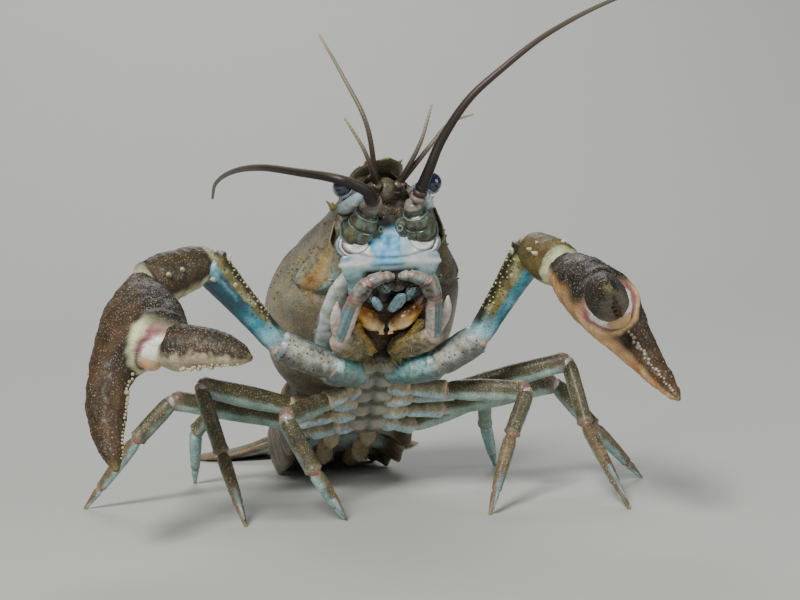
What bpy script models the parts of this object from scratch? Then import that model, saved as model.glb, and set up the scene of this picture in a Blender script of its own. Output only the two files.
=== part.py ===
"""A life-size signal crayfish, claws raised and spread, as a still museum model.

The animal faces -Y, its right side lies towards -X and it stands on z = 0.
Sizes are millimetres until a finished mesh is scaled to metres.
Joints of the limbs are given as (sideways, back, up) points of the stance.
"""
import math
from bisect import bisect_right

import bmesh
import bpy
from mathutils import Matrix, Vector

MM = 0.001
GAP = 0.3
SIDES = {"r": -1, "l": 1}
MIDDLE_X = -0.34
MIDDLE_Y = 10.468

# The stance: the fore body is pitched up about a point between the claw legs
PITCH = math.radians(48)
PIVOT_FORWARD = 18
PIVOT_HEIGHT = 27.5

# The fore body, read as (place forward of the hind margin, value)
HALF_WIDTH = [(0, 12.4), (6, 15.5), (14, 17.0), (20, 16.2), (26, 14.2), (32, 12.0), (38, 10.2),
              (42, 8.9), (47, 6.8)]
BACK_LINE = [(0, 21.5), (8, 24.2), (18, 25.2), (25, 24.3), (32, 22.0), (38, 19.4), (43, 16.9), (47, 14.1)]
WIDEST = [(0, 11.5), (15, 10.0), (22, 9.0), (28, 7.2), (34, 5.4), (40, 4.6), (47, 6.0)]
UNDER_LINE = [(0, 4.2), (5, 1.4), (12, 0.2), (28, 0.2), (34, 0.9), (37, 1.8), (41, 3.0), (47, 5.0)]
ROOF_POWER = [(0, 2.15), (16, 2.15), (32, 1.7), (47, 1.7)]
CARAPACE_FRONT = 47.5
GROOVE_FORWARD = 24
GROOVE_SWEEP = 6.0
GROOVE_DEPTH = 0.045
DECK = 1.2

# The face of the head is one slanted plane that starts at the deck
FACE_FOOT = 37
FACE_SLOPE = math.radians(52)

# The snout
SNOUT_LINE = [(40, 16.9), (43, 15.7), (46, 14.0), (49, 12.2), (51.4, 10.6)]
SNOUT_HALF_WIDTH = [(40, 4.6), (45, 4.1), (47.5, 3.3), (49, 2.3), (51.4, 0.35)]
SNOUT_THICKNESS = [(40, 1.6), (46, 1.1), (51.4, 0.35)]

# The chest floor between the legs
CHEST_HALF_WIDTH = 3.9
CHEST_DEPTH = 4.4
CHEST_FRONT = 18.0
MOUTH_FLOOR_FRONT = 29.7
MOUTH_FLOOR_UNDER = -1.4

# Limb joints of the stance, from the chest outwards
ARMS = {
    "r": [(-3.0, 1.6, 22.8), (-9.0, -4.5, 25.0), (-17.5, -5.2, 29.1), (-29.5, -8.0, 43.7),
          (-40.3, -11.7, 40.4), (-43.3, -24.0, 32.3), (-47.8, -31.5, 14.3), (-27.2, -34.5, 30.2)],
    "l": [(3.0, 1.6, 22.8), (9.5, -4.5, 24.3), (15.4, -9.0, 28.7), (23.6, -15.2, 43.7),
          (25.5, -25.0, 40.7), (29.7, -36.5, 34.1), (35.4, -49.0, 21.5), (23.2, -53.3, 38.9)],
}
LEGS = {
    "2r": [(-3.0, 3.9, 20.0), (-9.0, 1.0, 18.5), (-18.0, -10.0, 17.5), (-14.0, -13.0, 8.8), (-8.5, -10.0, 0)],
    "2l": [(3.0, 3.9, 20.0), (12.5, 1.0, 19.2), (24.5, -7.0, 19.0), (20.5, -10.0, 12.2), (14.5, -16.0, 0)],
    "3r": [(-3.0, 6.0, 17.6), (-13.9, 7.0, 17.3), (-29.8, 4.5, 22.1), (-27.0, 1.5, 10.8), (-25.1, -9.4, 0)],
    "3l": [(3.0, 6.0, 17.6), (14.9, 5.2, 18.4), (33.3, -2.5, 23.2), (34.5, -7.5, 12.7), (37.1, -21.0, 0)],
    "4r": [(-3.0, 8.1, 15.4), (-12.5, 9.5, 14.5), (-33.5, 13.0, 19.0), (-40.0, 13.5, 12.5), (-49.0, 20.0, 0)],
    "4l": [(3.0, 8.1, 15.4), (13.5, 9.3, 15.0), (33.5, 6.0, 18.5), (39.5, 3.0, 10.6), (50.0, 8.0, 0)],
    "5r": [(-3.0, 9.9, 13.2), (-9.0, 14.5, 11.8), (-22.5, 26.0, 16.9), (-27.5, 30.5, 11.0), (-27.0, 39.0, 0)],
    "5l": [(3.0, 9.9, 13.2), (9.0, 14.0, 11.8), (24.0, 18.5, 15.5), (25.5, 24.0, 9.5), (30.0, 34.0, 0)],
}

# Girths as (limb length number, share along it, half thickness, half depth)
ARM_GIRTHS = [(0, 0.0, 2.2, 2.2), (0, 0.35, 2.5, 2.6), (0, 0.8, 2.5, 2.7), (0, 0.97, 2.1, 2.3),
              (1, 0.1, 2.4, 2.5), (1, 0.5, 2.5, 2.7), (1, 0.85, 2.3, 2.4), (1, 1.15, 1.6, 1.7)]
ARM_MERUS_GIRTHS = [(0, -0.1, 1.2, 1.3), (0, 0.02, 1.95, 2.0), (0, 0.25, 1.95, 2.15), (0, 0.55, 2.15, 2.5),
                    (0, 0.85, 2.5, 3.0), (0, 1.02, 2.45, 2.95), (0, 1.14, 1.9, 2.2)]
ARM_CARPUS_GIRTHS = [(0, -0.22, 1.8, 2.0), (0, 0.0, 2.9, 3.1), (0, 0.3, 3.4, 3.6), (0, 0.65, 3.7, 3.9),
                     (0, 0.92, 3.2, 3.4), (0, 1.12, 2.3, 2.4)]
UPPER_LEG_GIRTHS = [(0, 0.0, 1.35, 1.35), (0, 0.28, 1.5, 1.6), (0, 0.5, 1.15, 1.25), (0, 0.62, 1.45, 1.6),
                    (0, 0.92, 1.3, 1.5), (1, 0.03, 1.1, 1.25), (1, 0.14, 1.3, 1.7), (1, 0.5, 1.35, 1.95),
                    (1, 0.85, 1.25, 1.75), (1, 0.99, 1.3, 1.6), (1, 1.09, 0.9, 1.1)]
LOWER_LEG_GIRTHS = [(0, -0.16, 0.8, 1.0), (0, 0.02, 1.2, 1.4), (0, 0.4, 1.25, 1.5), (0, 0.85, 1.15, 1.35),
                    (0, 0.98, 0.85, 1.0), (1, 0.06, 1.1, 1.2), (1, 0.4, 1.05, 1.15), (1, 0.66, 0.8, 0.85),
                    (1, 0.72, 0.6, 0.65), (1, 0.78, 0.7, 0.7), (1, 1.08, 0.32, 0.32)]

# The claw, as (share of the hand, offset to the inner side, half width, half thickness)
HAND_GIRTHS = [(-0.10, 0.0, 2.2, 2.2), (0.06, 0.0, 3.1, 3.1), (0.32, 0.5, 5.2, 4.1), (0.62, 0.9, 6.7, 4.7),
               (0.92, 1.1, 7.3, 4.8)]
FIXED_FINGER_GIRTHS = [(0.05, 0.8, 7.1, 4.6), (0.15, -2.0, 4.5, 3.9), (0.27, -3.2, 3.3, 3.3),
                       (0.5, -3.2, 2.9, 2.8), (0.74, -2.2, 2.2, 2.0), (0.92, -0.8, 1.3, 1.2),
                       (1.0, 0.0, 0.5, 0.5)]
FREE_FINGER_GIRTHS = [(0.0, 0.0, 2.2, 2.2), (0.08, 0.0, 3.1, 2.9), (0.2, 0.3, 3.6, 3.1),
                      (0.45, 0.8, 3.1, 2.7), (0.7, 0.8, 2.5, 2.2), (0.9, 0.3, 1.6, 1.4),
                      (1.0, 0.0, 0.6, 0.6)]
HINGE_ALONG = 0.4
HINGE_INWARD = 4.4

# The tail, ring by ring: length, downward pitch, half width, height above and below its middle line
RINGS = [(6.6, 44, 10.6, 7.6, 6.2), (7.4, 36, 12.2, 7.8, 9.0), (7.4, 27, 12.0, 7.4, 8.8),
         (7.2, 18, 11.4, 6.9, 7.8), (7.0, 9, 10.5, 6.3, 6.4), (7.0, 1, 9.0, 5.4, 4.9)]
# Small pointed forms
# The notch over each eye is a slanting cut: forward, side and up of a point in it, and of its way
ORBIT = ((41, 6.4, 14), (0.63, 0.67, 0.39))
SHELL_THORNS = [(38.6, 50, 0.5, 1.5), (33.5, 56, 0.5, 0.9), (40.0, 32, 1.5, 0.8), (37.2, 26, 0.5, 0.4)]
SNOUT_THORN = [(46.6, 2.4, 0.1), (48.9, 3.1, 0.5)]
FIXED_TEETH = [(7.7, 0.6), (8.15, 0.9), (8.6, 0.6), (9.05, 0.6), (9.5, 0.5), (9.95, 0.45)]
FREE_TEETH = [(2.4, 0.5), (2.8, 0.6), (3.2, 0.85), (3.7, 0.55), (4.2, 0.5), (4.7, 0.45)]
PALM_BUMPS = [(1.6, 0.4), (2.1, 0.45), (2.6, 0.45)]
MERUS_BUMPS = [(2.3, 0.35), (2.9, 0.4), (3.5, 0.45)]
TOOTH_RADIUS = 0.62
SPINE_RADIUS = 0.7

RING_START = (0, 11.2)
RING_OUT = [(0, 1.0), (18, 0.99), (36, 0.9), (54, 0.66), (72, 0.34), (90, 0.0)]
RING_DOWN = [(0, 0.0), (18, 0.42), (36, 0.98), (54, 0.66), (72, 0.56), (90, 0.54)]

COLOURS = {
    "shell": ("6f6552", 0.45), "belly": ("b7c3bd", 0.4), "claw": ("4a3626", 0.42), "arm": ("4e93a3", 0.35),
    "leg": ("6a6549", 0.45), "eye": ("10182a", 0.08), "stalk": ("c9d8df", 0.35), "feeler": ("4a3426", 0.5),
    "mandible": ("efb04e", 0.3), "mouth": ("dcd3c8", 0.4), "tail": ("7a7160", 0.45),
}

HIND_MARGIN = Vector((0, PIVOT_FORWARD * math.cos(PITCH), PIVOT_HEIGHT - PIVOT_FORWARD * math.sin(PITCH)))
BODY = Matrix.Translation(HIND_MARGIN) @ Matrix.Rotation(-PITCH, 4, "X")


def body_point(forward, side, up):
    """A point given along the fore body, turned to the stance."""
    return BODY @ Vector((side, -forward, up))


def body_way(forward, side, up):
    """A direction given along the fore body, turned to the stance."""
    return BODY.to_3x3() @ Vector((side, -forward, up))


def face_point(side, climb, out):
    """A point on the slanted face of the head: sideways, up the face, and out from it."""
    forward = FACE_FOOT + climb * math.cos(FACE_SLOPE) + out * math.sin(FACE_SLOPE)
    return body_point(forward, side, DECK + climb * math.sin(FACE_SLOPE) - out * math.cos(FACE_SLOPE))


def reading(table, place):
    """The smooth value at a place between the few (place, value) pairs of a table."""
    places = [entry[0] for entry in table]
    values = [entry[1] for entry in table]
    last = len(table) - 1
    i = min(max(bisect_right(places, place) - 1, 0), last - 1)
    span = places[i + 1] - places[i]
    t = min(max((place - places[i]) / span, 0), 1)

    def slope(k):
        before, after = max(k - 1, 0), min(k + 1, last)
        return (values[after] - values[before]) * (1 / (places[after] - places[before]))

    start = values[i] * (2 * t ** 3 - 3 * t ** 2 + 1) + slope(i) * (span * (t ** 3 - 2 * t ** 2 + t))
    return start + values[i + 1] * (3 * t ** 2 - 2 * t ** 3) + slope(i + 1) * (span * (t ** 3 - t ** 2))


def rounded(value, power):
    """A cosine or sine pushed outwards, which squares up a round section."""
    return math.copysign(abs(value) ** (2 / power), value)


def rolled_skin(rows, around, place):
    """A closed skin: a flat grid is rolled round, and its seam and both ends are joined."""
    bm = bmesh.new()
    bmesh.ops.create_grid(bm, x_segments=rows, y_segments=around, size=0.5)
    for vert in bm.verts:
        row = round((vert.co.x + 0.5) * rows)
        step = round((vert.co.y + 0.5) * around) % around
        vert.co = place(row, 2 * math.pi * step / around)
    bmesh.ops.remove_doubles(bm, verts=bm.verts, dist=1e-4)
    bmesh.ops.recalc_face_normals(bm, faces=bm.faces)
    return bm


class Sweep:
    """A closed skin through stations, each a middle point, a half thickness and a half depth."""

    def __init__(self, stations, across, around=8, power=2.0, bulge=0.35):
        self.stations = stations
        self.across = across
        self.around = around
        self.power = power
        self.bulge = bulge

    def frame(self, i):
        """The way along, across and up at a station."""
        last = len(self.stations) - 1
        ahead = self.stations[min(i + 1, last)][0] - self.stations[max(i - 1, 0)][0]
        ahead.normalize()
        across = (self.across - ahead * self.across.dot(ahead)).normalized()
        return ahead, across, ahead.cross(across)

    def ring_point(self, i, angle):
        """A point of the ring at station i."""
        middle, thick, deep = self.stations[i]
        _, across, up = self.frame(i)
        return (middle + across * (thick * rounded(math.cos(angle), self.power))
                + up * (deep * rounded(math.sin(angle), self.power)))

    def place(self, row, angle):
        """Where the rolled grid's point goes: a ring point, or the pole at either end."""
        last = len(self.stations) - 1
        if 1 <= row <= last + 1:
            return self.ring_point(row - 1, angle)
        i = 0 if row == 0 else last
        middle, thick, deep = self.stations[i]
        outward = -1 if row == 0 else 1
        return middle + self.frame(i)[0] * (outward * self.bulge * min(thick, deep))

    def skin(self):
        """The closed skin itself."""
        return rolled_skin(len(self.stations) + 1, self.around, self.place)

    def grown(self, extra):
        """The same sweep, thicker all round, for cutting a neighbour clear of it."""
        stations = [(middle, thick + extra, deep + extra) for middle, thick, deep in self.stations]
        first, last = self.frame(0)[0], self.frame(len(stations) - 1)[0]
        stations[0] = (stations[0][0] - first * extra,) + stations[0][1:]
        stations[-1] = (stations[-1][0] + last * extra,) + stations[-1][1:]
        return Sweep(stations, self.across, self.around, self.power, self.bulge)

    def surface(self, place, angle):
        """A point on the skin, at a station number with a fraction, and the way outwards there."""
        i = min(int(place), len(self.stations) - 2)
        share = place - i
        point = self.ring_point(i, angle).lerp(self.ring_point(i + 1, angle), share)
        middle = self.stations[i][0].lerp(self.stations[i + 1][0], share)
        return point, (point - middle).normalized()


def limb(joints, girths, scale=1.0, across=None, around=8, power=2.0):
    """A sweep along a limb's joints with the girths of a table."""
    stations = []
    for bone, share, thick, deep in girths:
        middle = joints[bone].lerp(joints[bone + 1], share)
        stations.append((middle, thick * scale, deep * scale))
    if across is None:
        across = Vector((0, 0, 1)).cross(joints[-1] - joints[0])
    return Sweep(stations, across, around, power)


def cut(bm, point, normal):
    """Takes away what lies beyond a plane and closes the flat that is left."""
    everything = bm.verts[:] + bm.edges[:] + bm.faces[:]
    bmesh.ops.bisect_plane(bm, geom=everything, plane_co=point, plane_no=normal, clear_outer=True)
    rim = [edge for edge in bm.edges if edge.is_boundary]
    if rim:
        bmesh.ops.holes_fill(bm, edges=rim, sides=0)
        bmesh.ops.recalc_face_normals(bm, faces=bm.faces)
    return bm


def mitre(bm, before, joint, after, keep):
    """Cuts a limb's length at a joint on the plane that halves the bend, half a gap clear of it."""
    normal = ((joint - before).normalized() + (after - joint).normalized()).normalized()
    if keep == "after":
        normal.negate()
    return cut(bm, joint - normal * (GAP / 2), normal)


def cut_at_chest(bm, side):
    """Ends a limb flat on the side of the chest floor, a gap clear of it."""
    return cut(bm, Vector((side * (CHEST_HALF_WIDTH + GAP), 0, 0)), Vector((-side, 0, 0)))


def cut_at_face(bm, out=GAP):
    """Keeps what stands out from the slanted face of the head."""
    normal = face_point(0, 0, 0) - face_point(0, 0, 1)
    return cut(bm, face_point(0, 0, out), normal)


def cut_at_floor(bm):
    """Stands a tip or a tail plate flat on z = 0."""
    return cut(bm, Vector((0, 0, 0)), Vector((0, 0, -1)))


def loose_object(name, bm):
    """An object for joining or cutting, in millimetres."""
    mesh = bpy.data.meshes.new(name)
    bm.to_mesh(mesh)
    bm.free()
    return bpy.data.objects.new(name, mesh)


def largest_surface(bm):
    """Keeps a mesh's largest closed surface and drops the rest."""
    bm.verts.ensure_lookup_table()
    unseen = set(bm.verts)
    largest = set()
    while unseen:
        start = unseen.pop()
        group, waiting = {start}, [start]
        while waiting:
            vert = waiting.pop()
            for edge in vert.link_edges:
                other = edge.other_vert(vert)
                if other in unseen:
                    unseen.remove(other)
                    group.add(other)
                    waiting.append(other)
        if len(group) > len(largest):
            largest = group
    bmesh.ops.delete(bm, geom=[vert for vert in bm.verts if vert not in largest], context="VERTS")
    return bm


def combine(base, others, operation="UNION", solver="EXACT"):
    """One Boolean on a collection joins pieces to a part, or cuts them from it."""
    scene = bpy.context.scene.collection
    body = loose_object("joined", base)
    scene.objects.link(body)
    pieces = bpy.data.collections.new("pieces")
    scene.children.link(pieces)
    for number, other in enumerate(others):
        pieces.objects.link(loose_object(f"piece_{number}", other))
    boolean = body.modifiers.new("boolean", "BOOLEAN")
    boolean.operation = operation
    boolean.operand_type = "COLLECTION"
    boolean.collection = pieces
    boolean.solver = solver
    evaluated = body.evaluated_get(bpy.context.evaluated_depsgraph_get())
    result = bmesh.new()
    result.from_mesh(evaluated.to_mesh())
    evaluated.to_mesh_clear()
    for piece in list(pieces.objects) + [body]:
        bpy.data.objects.remove(piece)
    bpy.data.collections.remove(pieces)
    return largest_surface(result)


def thorn(root, tip, radius, sides=5, blunt=0.12):
    """A spine or tooth: a cone from its sunk root to its tip."""
    bm = bmesh.new()
    way = tip - root
    turn = way.to_track_quat("Z", "Y").to_matrix().to_4x4()
    middle = Matrix.Translation((root + tip) / 2)
    bmesh.ops.create_cone(bm, cap_ends=True, segments=sides, radius1=radius, radius2=blunt,
                          depth=way.length, matrix=middle @ turn)
    return bm


def thorn_on(sweep, place, angle, height, radius=SPINE_RADIUS, lean=0.0, blunt=0.12):
    """A thorn that stands on a sweep's skin and leans along it."""
    point, outward = sweep.surface(place, angle)
    ahead = sweep.frame(min(int(place), len(sweep.stations) - 1))[0]
    return thorn(point - outward * 0.5, point + outward * height + ahead * lean, radius, blunt=blunt)


def facing(sweep, place, wish):
    """The angle round a sweep at which its skin most faces a wished way."""
    turns = [math.radians(degrees) for degrees in range(0, 360, 10)]
    return max(turns, key=lambda turn: sweep.surface(place, turn)[1].dot(wish))


def material(kind):
    """One finish of the crayfish."""
    name = f"crayfish_{kind}"
    found = bpy.data.materials.get(name)
    if found:
        return found
    colour, rough = COLOURS[kind]
    made = bpy.data.materials.new(name)
    made.use_nodes = True
    shader = made.node_tree.nodes["Principled BSDF"]
    channels = [int(colour[i:i + 2], 16) / 255 for i in (0, 2, 4)]
    linear = [((c + 0.055) / 1.055) ** 2.4 if c > 0.04045 else c / 12.92 for c in channels]
    shader.inputs["Base Color"].default_value = (*linear, 1)
    shader.inputs["Roughness"].default_value = rough
    shader.inputs["Metallic"].default_value = 0
    return made


def add_part(name, bm, kind, root):
    """A finished part: its origin at its root, scaled to metres, carried by the stance's empty."""
    bmesh.ops.translate(bm, verts=bm.verts, vec=-root)
    bmesh.ops.scale(bm, verts=bm.verts, vec=(MM, MM, MM))
    mesh = bpy.data.meshes.new(name)
    bm.to_mesh(mesh)
    bm.free()
    mesh.shade_smooth()
    mesh.set_sharp_from_angle(angle=math.radians(50))
    mesh.materials.append(material(kind))
    made = bpy.data.objects.new(name, mesh)
    CRAYFISH.objects.link(made)
    made.location = root * MM
    made.parent = STANCE
    return made


def carapace_point(forward, angle, inward=0.0):
    """A point of the head and back shield's own surface."""
    groove = math.exp(-((forward - GROOVE_FORWARD) / 1.6) ** 2)
    sweep = math.exp(-((forward - GROOVE_FORWARD) / 9) ** 2)
    shrink = 1 - GROOVE_DEPTH * groove - inward
    up, out = math.sin(angle), math.cos(angle)
    widest = reading(WIDEST, forward)
    reach = reading(BACK_LINE if up > 0 else UNDER_LINE, forward) - widest
    power = reading(ROOF_POWER, forward) if up > 0 else 2.6
    side = reading(HALF_WIDTH, forward) * rounded(out, power) * shrink
    height = widest + abs(reach) * rounded(up, power) * shrink
    return body_point(forward + GROOVE_SWEEP * sweep * (1 - up) / 2, side, height)


def make_carapace():
    """The shield over head and chest, with the snout."""
    places = [0, 0.6, 3, 7, 12, 16, 19.5, 22, 24, 26, 28.5, 32, 36, 40, 44, CARAPACE_FRONT]

    def place(row, angle):
        if row == 0:
            return body_point(0, 0, reading(WIDEST, 0))
        if row == len(places) + 1:
            return body_point(CARAPACE_FRONT, 0, reading(WIDEST, CARAPACE_FRONT))
        return carapace_point(places[row - 1], angle, 0.02 if row == 1 else 0)

    shield = rolled_skin(len(places) + 1, 32, place)
    cut(shield, body_point(0, 0, DECK), body_way(0, 0, -1))
    cut(shield, face_point(0, 0, 0), face_point(0, 0, 1) - face_point(0, 0, 0))
    for side in SIDES.values():
        spot, way = ORBIT
        cut(shield, body_point(spot[0], side * spot[1], spot[2]), body_way(way[0], side * way[1], way[2]))
    thorns = []
    for side in SIDES.values():
        for forward, degrees, height, lean in SHELL_THORNS:
            angle = math.radians(degrees if side > 0 else 180 - degrees)
            point = carapace_point(forward, angle)
            outward = (point - body_point(forward, 0, reading(WIDEST, forward))).normalized()
            tip = point + outward * height + body_way(lean, 0, 0)
            thorns.append(thorn(point - outward * 0.6, tip, SPINE_RADIUS))
        ends = [body_point(x, side * w, reading(SNOUT_LINE, x) + rise) for x, w, rise in SNOUT_THORN]
        thorns.append(thorn(ends[0], ends[1], SPINE_RADIUS))
    return combine(shield, [make_snout()] + thorns)


def make_snout():
    """The snout: a flat dished spear with raised rims."""
    places = [40, 42, 44, 46, 47.5, 49, 50.3, 51.4]

    def place(row, angle):
        forward = places[min(max(row - 1, 0), len(places) - 1)]
        height = reading(SNOUT_LINE, forward)
        if row in (0, len(places) + 1):
            return body_point(forward, 0, height - 0.2)
        up, out = math.sin(angle), math.cos(angle)
        dish = 0.35 + 0.65 * out * out if up > 0 else 1.0
        return body_point(forward, reading(SNOUT_HALF_WIDTH, forward) * out,
                          height + reading(SNOUT_THICKNESS, forward) * up * dish)

    return rolled_skin(len(places) + 1, 12, place)


def make_chest():
    """The chest floor between the legs."""
    places = [-0.6, 0.5, 6, 12, 16, CHEST_FRONT - 0.6]
    middle = DECK - GAP - CHEST_DEPTH / 2
    stations = [(body_point(x, 0, middle), CHEST_HALF_WIDTH, CHEST_DEPTH / 2) for x in places]
    chest = Sweep(stations, Vector((1, 0, 0)), 16, 7.0, 0.0).skin()
    return cut(chest, body_point(0, 0, DECK - GAP), body_way(0, 0, 1))


def make_mouth_floor():
    """The floor that carries the jaws."""
    half_widths = [(CHEST_FRONT, 4.6), (20, 6.2), (23, 7.4), (27, 7.4), (MOUTH_FLOOR_FRONT, 5.8)]
    middle = (DECK - GAP + MOUTH_FLOOR_UNDER) / 2
    deep = (DECK - GAP - MOUTH_FLOOR_UNDER) / 2
    stations = [(body_point(x, 0, middle), wide, deep) for x, wide in half_widths]
    return Sweep(stations, Vector((1, 0, 0)), 16, 5.0, 0.0).skin()


def make_epistome():
    """The plate in front of the mouth, bent from the deck up the face."""
    thick = 1.1
    below = GAP + thick
    on_deck = [(30.1, 5.4), (31.5, 7.0), (34, 8.3), (36.6, 8.7)]
    on_face = [(0.7, 7.8), (1.3, 5.0), (2.0, 2.4), (4.0, 1.3), (6.6, 0.9)]
    stations = [(body_point(x, 0, DECK - below), wide, thick) for x, wide in on_deck]
    stations += [(face_point(0, climb, below), wide, thick) for climb, wide in on_face]
    return Sweep(stations, Vector((1, 0, 0)), 16, 4.0, 0.0).skin()


def make_mandible(side):
    """One jaw, from the cheek to its biting edge at the middle."""
    shape = [(5.9, 26.6, -2.9, 1.2, 0.9), (4.6, 26.7, -2.9, 1.8, 1.4), (3.0, 27.0, -3.0, 1.9, 1.5),
             (1.5, 27.4, -3.1, 1.7, 1.4), (0.6, 27.7, -3.1, 1.2, 1.1)]
    stations = [(body_point(x, side * w, z), a, b) for w, x, z, a, b in shape]
    jaw = Sweep(stations, body_way(1, 0, 0), 8).skin()
    cut(jaw, body_point(0, 0, MOUTH_FLOOR_UNDER - GAP), body_way(0, 0, 1))
    return cut(jaw, Vector((side * GAP / 2, 0, 0)), Vector((-side, 0, 0)))


def maxilliped_joints(side):
    """The joints of an outer mouth limb, from its root to its inturned tip."""
    spots = [(19.4, 2.4, -2.4), (25.2, 8.0, -4.8), (35.2, 6.6, -5.2), (38.2, 4.7, -4.6), (39.0, 2.4, -4.2),
             (38.3, 0.9, -3.8)]
    return [body_point(x, side * w, z) for x, w, z in spots]


def make_maxilliped(side):
    """The broad root length of an outer mouth limb."""
    joints = maxilliped_joints(side)
    girths = [(0, 0.0, 1.3, 1.5), (0, 0.2, 1.3, 2.2), (0, 0.55, 1.3, 2.5), (0, 0.9, 1.25, 2.2),
              (0, 1.15, 0.9, 1.4)]
    sweep = limb(joints[:2], girths, across=body_way(0, 0, 1), around=10)
    piece = mitre(sweep.skin(), joints[0], joints[1], joints[2], "before")
    return cut(piece, body_point(0, 0, MOUTH_FLOOR_UNDER - GAP), body_way(0, 0, 1))


def make_palp(side):
    """The rest of an outer mouth limb, up and over the mouth."""
    joints = maxilliped_joints(side)[1:]
    girths = [(0, -0.12, 0.8, 1.0), (0, 0.02, 1.3, 1.6), (0, 0.4, 1.35, 1.7), (0, 0.85, 1.1, 1.3),
              (0, 1.0, 1.0, 1.1), (1, 0.3, 1.1, 1.25), (1, 0.9, 0.9, 1.0), (2, 0.4, 0.95, 1.0),
              (2, 0.95, 0.75, 0.8), (3, 0.9, 0.4, 0.45)]
    sweep = limb(joints, girths, across=body_way(0, 0, 1), around=8)
    root = maxilliped_joints(side)[0]
    return mitre(sweep.skin(), root, joints[0], joints[1], "after")


def antenna_root(side):
    """The stations of the stout jointed root of an antenna."""
    shape = [(5.2, 4.9, -0.6, 2.6, 2.6), (5.2, 4.9, 0.9, 3.0, 2.8), (5.1, 5.1, 2.2, 2.8, 2.6),
             (4.7, 5.8, 3.0, 2.1, 2.1), (4.5, 6.2, 3.5, 2.3, 2.2), (4.1, 7.2, 4.3, 1.9, 1.8),
             (3.9, 7.6, 4.7, 1.4, 1.4), (3.7, 8.2, 5.1, 1.5, 1.5), (3.5, 8.8, 5.6, 1.2, 1.2)]
    return [(face_point(side * w, climb, out), a, b) for w, climb, out, a, b in shape]


FEELER_PATHS = {
    "r": [(-4.2, -18.2, 53.6), (-5.6, -21.0, 55.0), (-9.8, -20.9, 57.0), (-14.6, -14.5, 58.2),
          (-19.2, -5.2, 58.9), (-21.4, 12.5, 58.0), (-21.8, 30.0, 56.0), (-20.0, 48.0, 53.0)],
    "l": [(4.2, -18.4, 53.9), (5.3, -19.6, 57.0), (7.5, -20.3, 61.9), (11.7, -21.9, 68.1),
          (16.9, -22.7, 72.6), (24.8, -22.0, 78.0), (35.3, -18.9, 82.8), (48.7, -11.4, 87.0)],
}
FEELER_GIRTH = [(0, 1.05), (0.12, 0.8), (0.5, 0.5), (1.0, 0.26)]


def feeler_stations(side, start, end, rows):
    """Stations along an antenna's whip between two shares of its length."""
    spots = [Vector(spot) for spot in FEELER_PATHS[side]]
    table = [(number / (len(spots) - 1), spot) for number, spot in enumerate(spots)]
    stations = []
    for row in range(rows + 1):
        share = start + (end - start) * row / rows
        girth = reading(FEELER_GIRTH, share)
        stations.append((reading(table, share), girth, girth))
    return stations


def make_feeler(side, length_number):
    """One of the two lengths of an antenna's whip; they meet face to face at its middle."""
    spots = [Vector(spot) for spot in FEELER_PATHS[side]]
    table = [(number / (len(spots) - 1), spot) for number, spot in enumerate(spots)]
    middle = reading(table, 0.5)
    way = (reading(table, 0.52) - reading(table, 0.48)).normalized()
    start, end = ((0, 0.505), (0.495, 1))[length_number]
    piece = Sweep(feeler_stations(side, start, end, 12), Vector((0.3, 1, 0.2)), 6).skin()
    facing = way if length_number == 0 else -way
    return cut(piece, middle - facing * (GAP / 2), facing)


def make_antenna_scale(side):
    """The blade beside an antenna's root."""
    shape = [(7.0, 8.7, -0.4, 0.9, 0.7), (7.0, 8.9, 0.9, 1.1, 0.75), (6.4, 9.3, 2.4, 1.2, 0.7),
             (5.2, 10.1, 5.0, 1.1, 0.6), (4.5, 10.8, 6.9, 0.35, 0.3)]
    stations = [(face_point(side * w, climb, out), a, b) for w, climb, out, a, b in shape]
    return cut_at_face(Sweep(stations, Vector((1, 0, 0)), 8).skin())


def make_antennule(side):
    """A small feeler pair beside the snout's underside, on its jointed root."""
    root = [(1.9, 11.0, -0.5, 1.1), (1.9, 11.2, 1.2, 1.15), (1.9, 11.8, 3.0, 1.0), (1.8, 12.2, 4.0, 0.8)]
    stations = [(face_point(side * w, climb, out), a, a) for w, climb, out, a in root]
    base = cut_at_face(Sweep(stations, Vector((1, 0, 0)), 8).skin())
    start = face_point(side * 1.8, 12.0, 3.4)
    tips = {-1: [[(-3.6, -15.5, 64.8), (-6.4, -11.0, 73.2), (-8.8, -5.7, 80.0)],
                 [(-4.8, -18.6, 60.6), (-7.8, -18.4, 66.0)]],
            1: [[(6.1, -17.0, 60.7), (10.1, -15.6, 64.6), (14.7, -13.6, 66.0)],
                [(4.6, -17.8, 61.6), (6.8, -17.4, 67.6)]]}
    whips = []
    for spots in tips[side]:
        path = [start] + [Vector(spot) for spot in spots]
        table = [(number / (len(path) - 1), spot) for number, spot in enumerate(path)]
        line = [(reading(table, n / 8), 0.5 - 0.24 * n / 8, 0.5 - 0.24 * n / 8) for n in range(9)]
        whips.append(Sweep(line, Vector((0.3, 1, 0.2)), 5).skin())
    return combine(base, whips)


EYE = (7.4, 12.2, 3.6)
EYE_RADIUS = 1.75
STALK_ROOT = (4.7, 11.0, -0.8)
EYE_SEAT = 0.7


def eye_frame(side):
    """The eye's middle, and the way along its stalk."""
    middle = face_point(side * EYE[0], EYE[1], EYE[2])
    root = face_point(side * STALK_ROOT[0], STALK_ROOT[1], STALK_ROOT[2])
    return root, middle, (middle - root).normalized()


def make_eye(side):
    """The dark ball of an eye, flat where it sits on its stalk."""
    _, middle, way = eye_frame(side)
    ball = bmesh.new()
    turn = way.to_track_quat("Z", "Y").to_matrix().to_4x4()
    bmesh.ops.create_uvsphere(ball, u_segments=14, v_segments=9, radius=EYE_RADIUS,
                              matrix=Matrix.Translation(middle) @ turn)
    return cut(ball, middle - way * EYE_SEAT, -way)


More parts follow.
